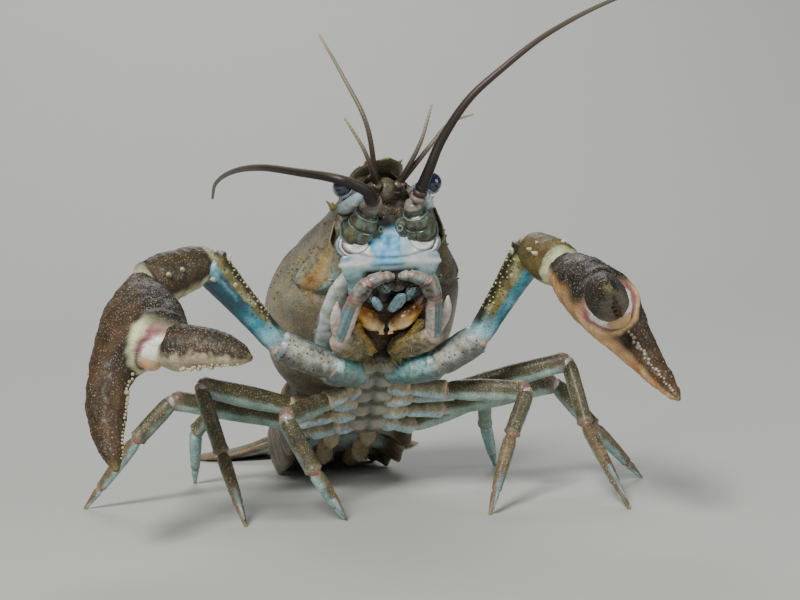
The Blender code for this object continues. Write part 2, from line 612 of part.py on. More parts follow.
def make_eyestalk(side):
    """The short stout stalk from the face to the eye."""
    root, middle, way = eye_frame(side)
    reach = (middle - root).length
    shape = [(0.0, 1.1), (0.3, 1.2), (0.55, 1.25), (0.8, 1.6), (0.95, 1.6)]
    stations = [(root + way * (reach * share), girth, girth) for share, girth in shape]
    stalk = Sweep(stations, Vector((1, 0, 0)), 10).skin()
    cut_at_face(stalk)
    return cut(stalk, middle - way * (EYE_SEAT + GAP), way)


def claw_frame(side):
    """Wrist, knuckle and tips of a claw, with the ways along and inwards of its broad plane."""
    wrist, knuckle, tip, free_tip = [Vector(spot) for spot in ARMS[side][4:]]
    along = (tip - knuckle).normalized()
    inward = free_tip - knuckle
    inward = (inward - along * inward.dot(along)).normalized()
    return wrist, knuckle, tip, free_tip, along, inward


def free_finger(side):
    """The sweep of a claw's free finger, from its hinge."""
    _, knuckle, _, free_tip, along, inward = claw_frame(side)
    hinge = knuckle + along * HINGE_ALONG + inward * HINGE_INWARD
    way = free_tip - hinge
    bow = (along.cross(inward)).cross(way).normalized()
    if bow.dot(along) > 0:
        bow.negate()
    stations = []
    for share, offset, wide, thick in FREE_FINGER_GIRTHS:
        stations.append((hinge + way * share + bow * offset, wide, thick))
    return Sweep(stations, bow, 10)


def make_claw_hand(side):
    """The hand and fixed finger, hollowed where the free finger's root sits."""
    wrist, knuckle, tip, _, along, inward = claw_frame(side)
    stations = []
    for share, offset, wide, thick in HAND_GIRTHS:
        stations.append((wrist.lerp(knuckle, share) + inward * offset, wide, thick))
    for share, offset, wide, thick in FIXED_FINGER_GIRTHS:
        stations.append((knuckle.lerp(tip, share) + inward * offset, wide, thick))
    sweep = Sweep(stations, inward, 16, 2.2)
    hand = sweep.skin()
    mitre(hand, Vector(ARMS[side][3]), wrist, knuckle, "after")
    hand = combine(hand, [free_finger(side).grown(GAP).skin()], "DIFFERENCE")
    return combine(hand, [thorn_on(sweep, place, 0, height, TOOTH_RADIUS, blunt=0.25)
                          for place, height in FIXED_TEETH + PALM_BUMPS])


def make_free_finger(side):
    """The free finger with its row of teeth towards the fixed one."""
    sweep = free_finger(side)
    return combine(sweep.skin(), [thorn_on(sweep, place, math.pi, height, TOOTH_RADIUS, blunt=0.25)
                                  for place, height in FREE_TEETH])


def make_arm(side):
    """The root lengths of a claw arm."""
    joints = [Vector(spot) for spot in ARMS[side][:4]]
    arm = limb(joints[:3], ARM_GIRTHS, across=body_way(0, 0, 1), around=10).skin()
    mitre(arm, joints[1], joints[2], joints[3], "before")
    return cut_at_chest(arm, SIDES[side])


def make_arm_length(side, number, girths):
    """A single length of a claw arm, mitred to its neighbours."""
    joints = [Vector(spot) for spot in ARMS[side]]
    sweep = limb(joints[number:number + 2], girths, across=body_way(0, 0, 1), around=12)
    piece = sweep.skin()
    mitre(piece, joints[number - 1], joints[number], joints[number + 1], "after")
    mitre(piece, joints[number], joints[number + 1], joints[number + 2], "before")
    inner = body_way(0.6, -SIDES[side], 0)
    if girths is ARM_MERUS_GIRTHS:
        thorns = [thorn_on(sweep, place, 0, height, TOOTH_RADIUS, blunt=0.25)
                  for place, height in MERUS_BUMPS]
        thorns += [thorn_on(sweep, 3.5, turn, 0.9, lean=0.7) for turn in (0, math.pi)]
        thorns.append(thorn_on(sweep, 3.3, facing(sweep, 3.3, inner), 1.0, lean=0.6))
    else:
        thorns = [thorn_on(sweep, 2.4, facing(sweep, 2.4, inner), 0.9, lean=0.6),
                  thorn_on(sweep, 3.2, facing(sweep, 3.2, inner), 1.3, lean=0.6),
                  thorn_on(sweep, 3.2, 0, 0.6, lean=0.4)]
    return combine(piece, thorns)


def make_upper_leg(name):
    """A walking leg from the chest to its knee."""
    joints = [Vector(spot) for spot in LEGS[name]]
    leg = limb(joints[:3], UPPER_LEG_GIRTHS).skin()
    mitre(leg, joints[1], joints[2], joints[3], "before")
    return cut_at_chest(leg, SIDES[name[1]])


def make_lower_leg(name):
    """A walking leg from its knee to the floor."""
    joints = [Vector(spot) for spot in LEGS[name]]
    leg = limb(joints[2:], LOWER_LEG_GIRTHS).skin()
    mitre(leg, joints[1], joints[2], joints[3], "after")
    if name[0] in "23":
        ankle, toe = joints[3:]
        away = Vector((0, -1, 0))
        away -= (toe - ankle) * away.dot(toe - ankle) / (toe - ankle).length_squared
        away.normalize()
        leg = combine(leg, [thorn(ankle.lerp(toe, 0.5) + away * 0.45, ankle.lerp(toe, 0.93) + away * 1.35,
                                  0.62, sides=6, blunt=0.22)])
    return cut_at_floor(leg)


def ring_points():
    """The joints of the tail's middle line, and the way along each ring."""
    point = body_point(RING_START[0], 0, RING_START[1])
    points, ways = [point], []
    for length, pitch, _, _, _ in RINGS:
        way = Vector((0, math.cos(math.radians(pitch)), -math.sin(math.radians(pitch))))
        point = point + way * length
        points.append(point)
        ways.append(way)
    return points, ways


def make_ring(number):
    """One ring of the tail, an arch with side flaps and a pair of small paddles beneath."""
    points, ways = ring_points()
    length, _, wide, above, below = RINGS[number]
    way = ways[number]
    up = Vector((1, 0, 0)).cross(way)
    if up.z < 0:
        up.negate()
    shape = [(-0.2, 0.93, 0.7), (0.04, 0.95, 0.78), (0.2, 0.985, 0.9), (0.6, 1.0, 1.0), (0.9, 1.02, 0.98),
             (1.2, 1.03, 0.85)]

    def place(row, angle):
        share, swell, drop = shape[min(max(row - 1, 0), len(shape) - 1)]
        middle = points[number] + way * (length * share)
        if row in (0, len(shape) + 1):
            return middle
        rise, out = math.sin(angle), math.cos(angle)
        if rise >= 0:
            return middle + Vector((wide * swell * out, 0, 0)) + up * (above * swell * rise)
        degrees = math.degrees(math.asin(-rise))
        side = math.copysign(reading(RING_OUT, degrees), out)
        return (middle + Vector((wide * swell * side, 0, 0))
                - up * (below * drop * reading(RING_DOWN, degrees)))

    ring = rolled_skin(len(shape) + 1, 20, place)
    before = body_way(-1, 0, 0) if number == 0 else ways[number - 1] + way
    before.normalize()
    cut(ring, points[number] + before * (GAP / 2 if number else GAP), -before)
    after = way if number == len(RINGS) - 1 else (way + ways[number + 1]).normalized()
    cut(ring, points[number + 1] - after * (GAP / 2), after)
    if number in (0, len(RINGS) - 1):
        return ring
    lobes = []
    for side in SIDES.values():
        line = [(0.3, -0.8, 1.0), (0.58, 0.2, 1.5), (0.74, 1.6, 1.8), (0.84, 3.0, 1.0)]
        root = points[number] + way * (length * 0.45) + Vector((side * 3.4, 0, 0))
        spots = [(root + way * back - up * (below * drop), half_width, 0.42)
                 for drop, back, half_width in line]
        lobes.append(Sweep(spots, Vector((1, 0, 0)), 6).skin())
    return combine(ring, lobes)


def tail_plate(spots, around=12):
    """A flat plate of the tail fan through (side, back, up, half width, half thickness) spots."""
    end = ring_points()[0][-1]
    stations = [(Vector((w, end.y + back, up)), wide, thick) for w, back, up, wide, thick in spots]
    across = Vector((0, 0, 1)).cross(stations[-1][0] - stations[0][0])
    plate = Sweep(stations, across, around, 2.4, 0.3).skin()
    cut(plate, Vector((0, end.y + GAP / 2, 0)), Vector((0, -1, 0)))
    return cut_at_floor(plate)


def make_telson():
    """The middle plate of the tail fan."""
    return tail_plate([(0, -1.0, 5.0, 4.4, 2.0), (0, 1.5, 4.3, 5.0, 1.8), (0, 4.5, 3.0, 5.6, 1.4),
                       (0, 8.0, 1.6, 6.1, 1.1), (0, 11.5, 0.7, 5.9, 0.9), (0, 14.0, 0.45, 4.5, 0.7),
                       (0, 14.8, 0.4, 2.8, 0.55)])


def make_uropods(side):
    """The two side plates of the tail fan on their common root."""
    inner = [(6.6, -1.2, 4.4, 1.6, 1.6), (7.0, 1.2, 4.0, 1.7, 1.4), (8.6, 4.2, 2.6, 2.7, 1.0),
             (10.7, 8.0, 1.3, 3.9, 0.9), (12.2, 12.0, 0.6, 4.1, 0.8), (12.9, 14.6, 0.4, 3.0, 0.6),
             (13.1, 15.7, 0.4, 1.6, 0.5)]
    outer = [(6.9, 0.4, 4.0, 1.2, 1.3), (8.6, 1.6, 3.6, 1.9, 1.3), (11.8, 3.8, 2.4, 3.2, 1.0),
             (15.5, 6.8, 1.2, 4.3, 0.9), (18.4, 10.0, 0.6, 4.2, 0.8), (19.9, 12.2, 0.4, 3.0, 0.6),
             (20.4, 13.3, 0.4, 1.6, 0.5)]
    plates = []
    for spots in (inner, outer):
        plates.append(tail_plate([(side * w, back, up, wide, thick) for w, back, up, wide, thick in spots]))
    return combine(plates[0], [plates[1]])


def build_fore_body():
    """The shield, chest floor, face and mouth."""
    add_part("carapace", make_carapace(), "shell", body_point(0, 0, DECK))
    add_part("sternum", make_chest(), "belly", body_point(0, 0, 0))
    add_part("mouth_floor", make_mouth_floor(), "mouth", body_point(CHEST_FRONT, 0, 0))
    add_part("epistome", make_epistome(), "belly", body_point(FACE_FOOT, 0, 0))
    for key, side in SIDES.items():
        add_part(f"mandible_{key}", make_mandible(side), "mandible", body_point(27, side * 5, -2))
        joints = maxilliped_joints(side)
        add_part(f"maxilliped_{key}", make_maxilliped(side), "mouth", joints[0])
        add_part(f"maxilliped_palp_{key}", make_palp(side), "mouth", joints[1])


def build_feelers_and_eyes():
    """Antennae, antennules, scales and eyes."""
    for key, side in SIDES.items():
        root = antenna_root(side)
        base = cut_at_face(Sweep(root, Vector((1, 0, 0)), 12).skin())
        add_part(f"antenna_base_{key}", base, "belly", root[0][0])
        add_part(f"antenna_scale_{key}", make_antenna_scale(side), "stalk", face_point(side * 7.0, 8.7, 0))
        for number in (0, 1):
            origin = Vector(FEELER_PATHS[key][4 * number])
            add_part(f"antenna_{key}_{number + 1}", make_feeler(key, number), "feeler", origin)
        add_part(f"antennule_{key}", make_antennule(side), "feeler", face_point(side * 1.9, 11, 0))
        add_part(f"eyestalk_{key}", make_eyestalk(side), "stalk", eye_frame(side)[0])
        add_part(f"eye_{key}", make_eye(side), "eye", eye_frame(side)[1])


def build_limbs():
    """Claw arms and walking legs."""
    for key in SIDES:
        joints = [Vector(spot) for spot in ARMS[key]]
        add_part(f"cheliped_arm_{key}", make_arm(key), "arm", joints[0])
        add_part(f"cheliped_merus_{key}", make_arm_length(key, 2, ARM_MERUS_GIRTHS), "arm", joints[2])
        add_part(f"cheliped_carpus_{key}", make_arm_length(key, 3, ARM_CARPUS_GIRTHS), "claw", joints[3])
        add_part(f"cheliped_claw_{key}", make_claw_hand(key), "claw", joints[4])
        add_part(f"cheliped_finger_{key}", make_free_finger(key), "claw", joints[5])
    for name, spots in LEGS.items():
        add_part(f"leg_{name}_upper", make_upper_leg(name), "leg", Vector(spots[0]))
        add_part(f"leg_{name}_lower", make_lower_leg(name), "leg", Vector(spots[2]))


def build_tail():
    """The tail's rings and fan."""
    points, _ = ring_points()
    for number in range(len(RINGS)):
        add_part(f"abdomen_{number + 1}", make_ring(number), "tail", points[number])
    add_part("telson", make_telson(), "tail", points[-1])
    for key, side in SIDES.items():
        add_part(f"uropods_{key}", make_uropods(side), "tail", points[-1])


for old in list(bpy.data.objects):
    bpy.data.objects.remove(old)
CRAYFISH = bpy.data.collections.new("signal_crayfish")
bpy.context.scene.collection.children.link(CRAYFISH)
STANCE = bpy.data.objects.new("stance", None)
STANCE.location = (-MIDDLE_X * MM, -MIDDLE_Y * MM, 0)
CRAYFISH.objects.link(STANCE)
build_fore_body()
build_feelers_and_eyes()
build_limbs()
build_tail()
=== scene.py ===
from bisect import bisect_right
from math import asin, copysign, cos, degrees, exp, hypot, pi, radians, sin
from random import choice, seed, uniform
from random import random as chance

import bmesh
import bpy
from mathutils import Matrix, Vector
from mathutils.noise import noise


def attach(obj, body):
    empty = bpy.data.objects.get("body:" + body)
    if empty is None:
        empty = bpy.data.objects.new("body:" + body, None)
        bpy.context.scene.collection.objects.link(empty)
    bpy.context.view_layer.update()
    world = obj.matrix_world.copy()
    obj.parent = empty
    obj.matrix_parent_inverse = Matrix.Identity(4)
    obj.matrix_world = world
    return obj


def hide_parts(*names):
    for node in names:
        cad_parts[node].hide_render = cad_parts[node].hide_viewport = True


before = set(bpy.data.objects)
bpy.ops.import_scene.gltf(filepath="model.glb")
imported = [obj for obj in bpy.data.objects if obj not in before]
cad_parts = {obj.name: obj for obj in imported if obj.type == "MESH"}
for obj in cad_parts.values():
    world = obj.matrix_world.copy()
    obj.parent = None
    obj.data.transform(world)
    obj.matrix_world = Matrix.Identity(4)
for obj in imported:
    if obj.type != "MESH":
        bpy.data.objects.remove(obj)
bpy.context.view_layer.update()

MM = 0.001
STANCE = Vector((0.34, -10.468, 0))
SIDES = {"r": -1, "l": 1}
UP = Vector((0, 0, 1))
RIGHTWARDS = Vector((1, 0, 0))
seed(7)

# The fore body is pitched up about a point between the claw legs
PITCH = radians(48)
PIVOT_FORWARD = 18
PIVOT_HEIGHT = 27.5
HIND_MARGIN = Vector((0, PIVOT_FORWARD * cos(PITCH), PIVOT_HEIGHT - PIVOT_FORWARD * sin(PITCH)))
BODY = Matrix.Translation(HIND_MARGIN) @ Matrix.Rotation(-PITCH, 4, "X")
BODY_BACK = BODY.inverted()

# The head and back shield, read as (place forward of the hind margin, value)
HALF_WIDTH = [(0, 12.4), (6, 15.5), (14, 17.0), (20, 16.2), (26, 14.2), (32, 12.0), (38, 10.2),
              (42, 8.9), (47, 6.8)]
BACK_LINE = [(0, 21.5), (8, 24.2), (18, 25.2), (25, 24.3), (32, 22.0), (38, 19.4), (43, 16.9), (47, 14.1)]
WIDEST = [(0, 11.5), (15, 10.0), (22, 9.0), (28, 7.2), (34, 5.4), (40, 4.6), (47, 6.0)]
UNDER_LINE = [(0, 4.2), (5, 1.4), (12, 0.2), (28, 0.2), (34, 0.9), (37, 1.8), (41, 3.0), (47, 5.0)]
ROOF_POWER = [(0, 2.15), (16, 2.15), (32, 1.7), (47, 1.7)]
CARAPACE_FRONT = 47.5
GROOVE_FORWARD = 24
CHEEK_START = 23.6
CHEEK_LENGTH = 17.2
GROOVE_SWEEP = 6.0
GROOVE_DEPTH = 0.055
DECK = 1.2
FACE_FOOT = 37
FACE_SLOPE = radians(52)
SNOUT_ROOT = 38
SNOUT_TIP = 51.4
SNOUT_LINE = [(40, 16.9), (43, 15.7), (46, 14.0), (49, 12.2), (SNOUT_TIP, 10.6)]
SNOUT_HALF_WIDTH = [(40, 4.6), (45, 4.1), (47.5, 3.3), (49, 2.3), (SNOUT_TIP, 0.25)]
SNOUT_THICKNESS = [(40, 1.6), (46, 1.1), (SNOUT_TIP, 0.3)]
# The notch over each eye is a slanting cut: forward, side and up of a point in it, and of its way
ORBIT = ((41, 6.4, 14), (0.63, 0.67, 0.39))
# Spines of the shield: place forward, degrees above the widest line, height, lean forward, root radius
SHELL_SPINES = [(38.6, 50, 0.6, 1.5, 0.6), (33.5, 56, 0.5, 0.9, 0.55), (40.0, 32, 1.8, 0.9, 0.8),
                (37.2, 26, 0.5, 0.4, 0.4), (36.0, 44, 0.3, 0.3, 0.35), (30.0, 60, 0.3, 0.2, 0.4)]
SNOUT_SPINE = [(46.6, 2.4, 0.1), (49.0, 3.15, 0.5)]

# Limb joints of the stance, from the chest outwards
ARMS = {
    "r": [(-3.0, 1.6, 22.8), (-9.0, -4.5, 25.0), (-17.5, -5.2, 29.1), (-29.5, -8.0, 43.7),
          (-40.3, -11.7, 40.4), (-43.3, -24.0, 32.3), (-47.8, -31.5, 14.3), (-27.2, -34.5, 30.2)],
    "l": [(3.0, 1.6, 22.8), (9.5, -4.5, 24.3), (15.4, -9.0, 28.7), (23.6, -15.2, 43.7),
          (25.5, -25.0, 40.7), (29.7, -36.5, 34.1), (35.4, -49.0, 21.5), (23.2, -53.3, 38.9)],
}
LEGS = {
    "2r": [(-3.0, 3.9, 20.0), (-9.0, 1.0, 18.5), (-18.0, -10.0, 17.5), (-14.0, -13.0, 8.8), (-8.5, -10.0, 0)],
    "2l": [(3.0, 3.9, 20.0), (12.5, 1.0, 19.2), (24.5, -7.0, 19.0), (20.5, -10.0, 12.2), (14.5, -16.0, 0)],
    "3r": [(-3.0, 6.0, 17.6), (-13.9, 7.0, 17.3), (-29.8, 4.5, 22.1), (-27.0, 1.5, 10.8), (-25.1, -9.4, 0)],
    "3l": [(3.0, 6.0, 17.6), (14.9, 5.2, 18.4), (33.3, -2.5, 23.2), (34.5, -7.5, 12.7), (37.1, -21.0, 0)],
    "4r": [(-3.0, 8.1, 15.4), (-12.5, 9.5, 14.5), (-33.5, 13.0, 19.0), (-40.0, 13.5, 12.5), (-49.0, 20.0, 0)],
    "4l": [(3.0, 8.1, 15.4), (13.5, 9.3, 15.0), (33.5, 6.0, 18.5), (39.5, 3.0, 10.6), (50.0, 8.0, 0)],
    "5r": [(-3.0, 9.9, 13.2), (-9.0, 14.5, 11.8), (-22.5, 26.0, 16.9), (-27.5, 30.5, 11.0), (-27.0, 39.0, 0)],
    "5l": [(3.0, 9.9, 13.2), (9.0, 14.0, 11.8), (24.0, 18.5, 15.5), (25.5, 24.0, 9.5), (30.0, 34.0, 0)],
}

# Articles of the limbs as (share of the length, half thickness, half depth)
ARM_COXA = [(0.0, 2.2, 2.2), (0.3, 2.5, 2.6), (0.8, 2.55, 2.7), (1.0, 2.2, 2.3)]
ARM_ISCHIUM = [(0.0, 2.0, 2.1), (0.12, 2.35, 2.4), (0.5, 2.5, 2.65), (0.85, 2.5, 2.6), (1.0, 2.1, 2.2)]
ARM_MERUS = [(0.0, 1.6, 1.7), (0.06, 1.95, 2.0), (0.25, 1.95, 2.15), (0.55, 2.15, 2.5), (0.85, 2.5, 3.0),
             (0.97, 2.6, 3.1), (1.0, 2.3, 2.7)]
ARM_CARPUS = [(0.0, 2.4, 2.6), (0.12, 3.0, 3.2), (0.4, 3.5, 3.7), (0.7, 3.75, 3.95), (0.95, 3.3, 3.5),
              (1.0, 2.7, 2.9)]
LEG_COXA = [(0.0, 1.35, 1.35), (0.4, 1.55, 1.6), (0.85, 1.45, 1.5), (1.0, 1.15, 1.2)]
LEG_ISCHIUM = [(0.0, 1.0, 1.1), (0.15, 1.25, 1.35), (0.6, 1.35, 1.55), (0.93, 1.4, 1.65), (1.0, 1.15, 1.35)]
LEG_MERUS = [(0.0, 1.0, 1.15), (0.07, 1.25, 1.6), (0.45, 1.35, 1.95), (0.85, 1.25, 1.75), (0.96, 1.35, 1.7),
             (1.0, 1.1, 1.35)]
LEG_CARPUS = [(0.0, 0.95, 1.1), (0.12, 1.2, 1.4), (0.4, 1.25, 1.5), (0.85, 1.2, 1.45), (0.97, 1.25, 1.4),
              (1.0, 0.95, 1.1)]
LEG_PROPODUS = [(0.0, 0.8, 0.9), (0.12, 1.1, 1.2), (0.5, 1.05, 1.15), (0.9, 0.85, 0.92), (1.0, 0.62, 0.68)]
LEG_DACTYL = [(0.0, 0.5, 0.55), (0.15, 0.68, 0.72), (0.5, 0.52, 0.55), (0.85, 0.34, 0.36), (1.0, 0.2, 0.2)]
HAND_SUNK = 0.10
HAND = [(-HAND_SUNK, 0.0, 2.2, 2.2), (0.06, 0.0, 3.1, 3.1), (0.32, 0.5, 5.2, 4.1), (0.62, 0.9, 6.7, 4.7),
        (0.92, 1.1, 7.3, 4.8)]
FIXED_FINGER = [(0.05, 0.8, 7.1, 4.6), (0.15, -2.0, 4.5, 3.9), (0.27, -3.2, 3.3, 3.3), (0.5, -3.2, 2.9, 2.8),
                (0.74, -2.2, 2.2, 2.0), (0.92, -0.8, 1.3, 1.2), (1.0, 0.0, 0.5, 0.5)]
FREE_FINGER = [(0.0, 0.0, 2.2, 2.2), (0.08, 0.0, 3.1, 2.9), (0.2, 0.3, 3.6, 3.1), (0.45, 0.8, 3.1, 2.7),
               (0.7, 0.8, 2.5, 2.2), (0.9, 0.3, 1.6, 1.4), (1.0, 0.0, 0.6, 0.6)]
HINGE_ALONG = 0.4
HINGE_INWARD = 4.4

# Antennae from root to tip, and their girth along them
FEELER_PATHS = {
    "r": [(-3.4, -17.4, 52.4), (-5.2, -20.4, 54.3), (-9.6, -20.9, 56.3), (-14.6, -14.5, 57.6),
          (-19.2, -5.2, 58.6), (-21.4, 12.5, 58.0), (-21.8, 30.0, 56.0), (-20.0, 48.0, 53.0)],
    "l": [(4.0, -17.4, 52.9), (5.3, -19.6, 57.0), (7.5, -20.3, 61.9), (11.7, -21.9, 68.1),
          (16.9, -22.7, 72.6), (24.8, -22.0, 78.0), (35.3, -18.9, 82.8), (48.7, -11.4, 87.0)],
}
FEELER_GIRTH = [(0, 1.05), (0.12, 0.8), (0.5, 0.5), (1.0, 0.26)]
ANTENNULE_TIPS = {
    "r": [[(-3.6, -15.5, 64.8), (-6.4, -11.0, 73.2), (-8.8, -5.7, 80.0)],
          [(-4.8, -18.6, 60.6), (-7.8, -18.4, 66.0)]],
    "l": [[(6.1, -17.0, 60.7), (10.1, -15.6, 64.6), (14.7, -13.6, 66.0)],
          [(4.6, -17.8, 61.6), (6.8, -17.4, 67.6)]],
}

# Where the segments of the feeler roots meet, as shares of their length, and where their seams run
BASE_JOINTS = (0.33, 0.52, 0.78)
BASE_SEAMS = (0.9, 2.6, 4.4)
ANTENNULE_JOINTS = (0.45, 0.75)

# The lobes under the feelers: side and climb of their middles, half width, half height and half depth
LOBE_PLACE = (5.5, 2.8)
LOBE_HALVES = (3.4, 2.5, 1.4)
# The gland's cone: side and climb of its middle, half width, half height and half depth
CONE_PLACE = (2.3, 5.3)
CONE_HALVES = (1.5, 1.8, 1.5)

# Eyes on the face, as (side, climb, out)
EYE = (7.4, 12.2, 3.6)
EYE_RADIUS = 1.68
STALK_ROOT = (4.7, 11.0, -0.8)

# Joints of a mouth foot as (forward, side, up)
MAXILLIPED = [(19.4, 2.4, -2.4), (25.2, 8.0, -4.8), (35.2, 6.6, -5.2), (38.2, 4.7, -4.6), (39.1, 2.2, -4.2),
              (38.6, 0.45, -3.9)]

# Rings of the tail: length, pitch in degrees, half width, height above and below the middle line
RINGS = [(6.6, 44, 10.6, 7.6, 6.2), (7.4, 36, 12.2, 7.8, 9.0), (7.4, 27, 12.0, 7.4, 8.8),
         (7.2, 18, 11.4, 6.9, 7.8), (7.0, 9, 10.5, 6.3, 6.4), (7.0, 1, 9.0, 5.4, 4.9)]
RING_START = (0, 11.2)
RING_OUT = [(0, 1.0), (18, 0.99), (36, 0.9), (54, 0.66), (72, 0.34), (90, 0.0)]
RING_DOWN = [(0, 0.0), (18, 0.42), (36, 0.98), (54, 0.66), (72, 0.56), (90, 0.54)]
# Blades of the tail fan: side, place behind the last ring, height, half width, half thickness
TELSON = [(0, -1.0, 5.0, 4.4, 2.0), (0, 1.5, 4.3, 5.0, 1.8), (0, 4.5, 3.0, 5.6, 1.4), (0, 8.0, 1.6, 6.1, 1.1),
          (0, 11.5, 0.7, 5.9, 0.9), (0, 14.0, 0.45, 4.5, 0.7), (0, 14.8, 0.4, 2.8, 0.55)]
INNER_UROPOD = [(6.6, -1.2, 4.4, 1.6, 1.6), (7.0, 1.2, 4.0, 1.7, 1.4), (8.6, 4.2, 2.6, 2.7, 1.0),
                (10.7, 8.0, 1.3, 3.9, 0.9), (12.2, 12.0, 0.6, 4.1, 0.8), (12.9, 14.6, 0.4, 3.0, 0.6),
                (13.1, 15.7, 0.4, 1.6, 0.5)]
OUTER_UROPOD = [(6.9, 0.4, 4.0, 1.2, 1.3), (8.6, 1.6, 3.6, 1.9, 1.3), (11.8, 3.8, 2.4, 3.2, 1.0),
                (15.5, 6.8, 1.2, 4.3, 0.9), (18.4, 10.0, 0.6, 4.2, 0.8), (19.9, 12.2, 0.4, 3.0, 0.6),
                (20.4, 13.3, 0.4, 1.6, 0.5)]

# The photograph's lens, the camera's distance from its target, and where the paper floor starts to sweep up
LENS = 89.84
SENSOR = 36
CAMERA_AWAY = 330
PICTURE_WIDTH = 800
SWEEP_START = 0.45
SWEEP_RISE = 1.6

# Rows of a skin that round off each of its ends
CAP_ROWS = 5
# The model's cuts stay this far above the floor
FLOOR_GAP = 0.02


def hue(code):
    """An sRGB hex colour as a linear one."""
    channels = [int(code[i:i + 2], 16) / 255 for i in (0, 2, 4)]
    return Vector([((c + 0.055) / 1.055) ** 2.4 if c > 0.04045 else c / 12.92 for c in channels])


SHELL_DARK, SHELL_OLIVE, SHELL_GREY = hue("231b11"), hue("4a4630"), hue("7c7862")
SHELL_TAN, CHEEK_GOLD, CHEEK_RUST = hue("8a7c62"), hue("a88c4c"), hue("8a5418")
GROOVE_BLUE, RIM_TEAL = hue("7fb3b4"), hue("1f6470")
CLAW_BROWN, CLAW_RUST, CLAW_BLACK = hue("281f10"), hue("473016"), hue("100d08")
SIGNAL_WHITE, SIGNAL_MINT, MAUVE = hue("f6f2ee"), hue("ccd2a6"), hue("8c4c5a")
CLAW_ORANGE, CLAW_CREAM = hue("b97a3e"), hue("dcc394")
MERUS_CYAN, MERUS_DEEP, MERUS_PALE = hue("28859a"), hue("08404f"), hue("84bccb")
COXA_TEAL, CREAM, BLUE_WHITE = hue("177e8e"), hue("c2b394"), hue("a9c2c8")
OLIVE_GOLD, LEG_OLIVE, LEG_PALE = hue("6a6030"), hue("4c4937"), hue("93aca2")
LEG_TAN, JOINT_PINK, JOINT_ROSE = hue("7b664c"), hue("b98a84"), hue("96555a")
EPISTOME_BLUE, LOBE_PINK = hue("4aa6dc"), hue("cdbcc2")
FEELER_BROWN, FEELER_DARK, STALK_BLUE = hue("3b2d25"), hue("1a1310"), hue("9dbdd2")
JAW_GOLD, JAW_PALE, MOUTH_SHADOW = hue("bd7a1c"), hue("f6cf66"), hue("130e0a")
TAIL_BROWN, TAIL_OLIVE, TAIL_RUST = hue("3f3325"), hue("575038"), hue("74492a")
TIP_YELLOW, BRISTLE_BROWN = hue("8f8242"), hue("2a1c10")
FLANK_GREEN, CHEEK_SAND, TOOTH_BONE = hue("6d7672"), hue("8f8a70"), hue("a09a84")
PANEL_SKY, PANEL_GLINT, PANEL_PIT = hue("9fd4f0"), hue("c4e6f6"), hue("2f6f98")
PANEL_EDGE, LIP_GREY, LIP_SLATE = hue("3c86ac"), hue("8aa3a6"), hue("6f8f96")
LOBE_MAUVE, BASE_GREEN, BASE_GREY, BASE_SLATE = hue("b9a9ae"), hue("5f7f76"), hue("9a8f8c"), hue("46605a")
SCALE_GREY, RING_GREY, STALK_ORANGE = hue("8d9ea6"), hue("6f625c"), hue("c8643c")
EYE_NAVY, EYE_BLUE = hue("0b1530"), hue("1c3a66")
LIP_LOBE, SIDE_LOBE, OUTER_LOBE = hue("93b6c2"), hue("7f9aa0"), hue("8a6a5c")
JAW_BROWN, FOOT_BUFF, TOOTH_GOLD, CREST_GOLD = hue("5e2c0a"), hue("b9a79c"), hue("a8842c"), hue("9a7a30")
POST_CREAM, POST_GREEN, PALP_PINK = hue("cdbfb6"), hue("8f9c94"), hue("c0b0ac")
FLANGE_PALE, FLANGE_GREY, FUZZ_OLIVE = hue("ddd3ca"), hue("a89a90"), hue("8b8558")
SHADED_CHEST_GREY, SWIM_FRINGE, FAN_FRINGE = hue("7d8a86"), hue("7a6a4c"), hue("8a6a44")
PAPER = hue("bcbebb")


def body_point(forward, side, up):
    """A point given along the fore body, turned to the stance."""
    return BODY @ Vector((side, -forward, up))


def body_way(forward, side, up):
    """A direction given along the fore body, turned to the stance."""
    return BODY.to_3x3() @ Vector((side, -forward, up))


def face_point(side, climb, out):
    """A point on the slanted face of the head: sideways, up the face, and out from it."""
    forward = FACE_FOOT + climb * cos(FACE_SLOPE) + out * sin(FACE_SLOPE)
    return body_point(forward, side, DECK + climb * sin(FACE_SLOPE) - out * cos(FACE_SLOPE))


def ease(low, high, value):
    """0 below low and 1 above high, with a soft change between, or the other way when low is above high."""
    t = min(max((value - low) / (high - low), 0), 1)
    return t * t * (3 - 2 * t)


def bell(centre, width, value):
    """1 at the centre, falling off over a width."""
    return exp(-((value - centre) / width) ** 2)


def blotch(point, size, low=-0.15, high=0.35):
    """Soft patches of a size in millimetres, from 0 to 1."""
    return ease(low, high, noise(point / size))


def reading(table, place):
    """The smooth value at a place between the few (place, value) pairs of a table."""
    places = [entry[0] for entry in table]
    values = [entry[1] for entry in table]
    last = len(table) - 1
    i = min(max(bisect_right(places, place) - 1, 0), last - 1)
    span = places[i + 1] - places[i]
    t = min(max((place - places[i]) / span, 0), 1)

    def slope(k):
        before, after = max(k - 1, 0), min(k + 1, last)
        return (values[after] - values[before]) * (1 / (places[after] - places[before]))

    start = values[i] * (2 * t ** 3 - 3 * t ** 2 + 1) + slope(i) * (span * (t ** 3 - 2 * t ** 2 + t))
    return start + values[i + 1] * (3 * t ** 2 - 2 * t ** 3) + slope(i + 1) * (span * (t ** 3 - t ** 2))


def rounded(value, power):
    """A cosine or sine pushed outwards, which squares up a round section."""
    return copysign(abs(value) ** (2 / power), value)


def new_form():
    """An empty mesh whose points carry a tint, how grainy they are and a length along."""
    bm = bmesh.new()
    bm.verts.layers.float_color.new("tint")
    bm.verts.layers.float.new("grain")
    bm.verts.layers.float.new("along")
    return bm


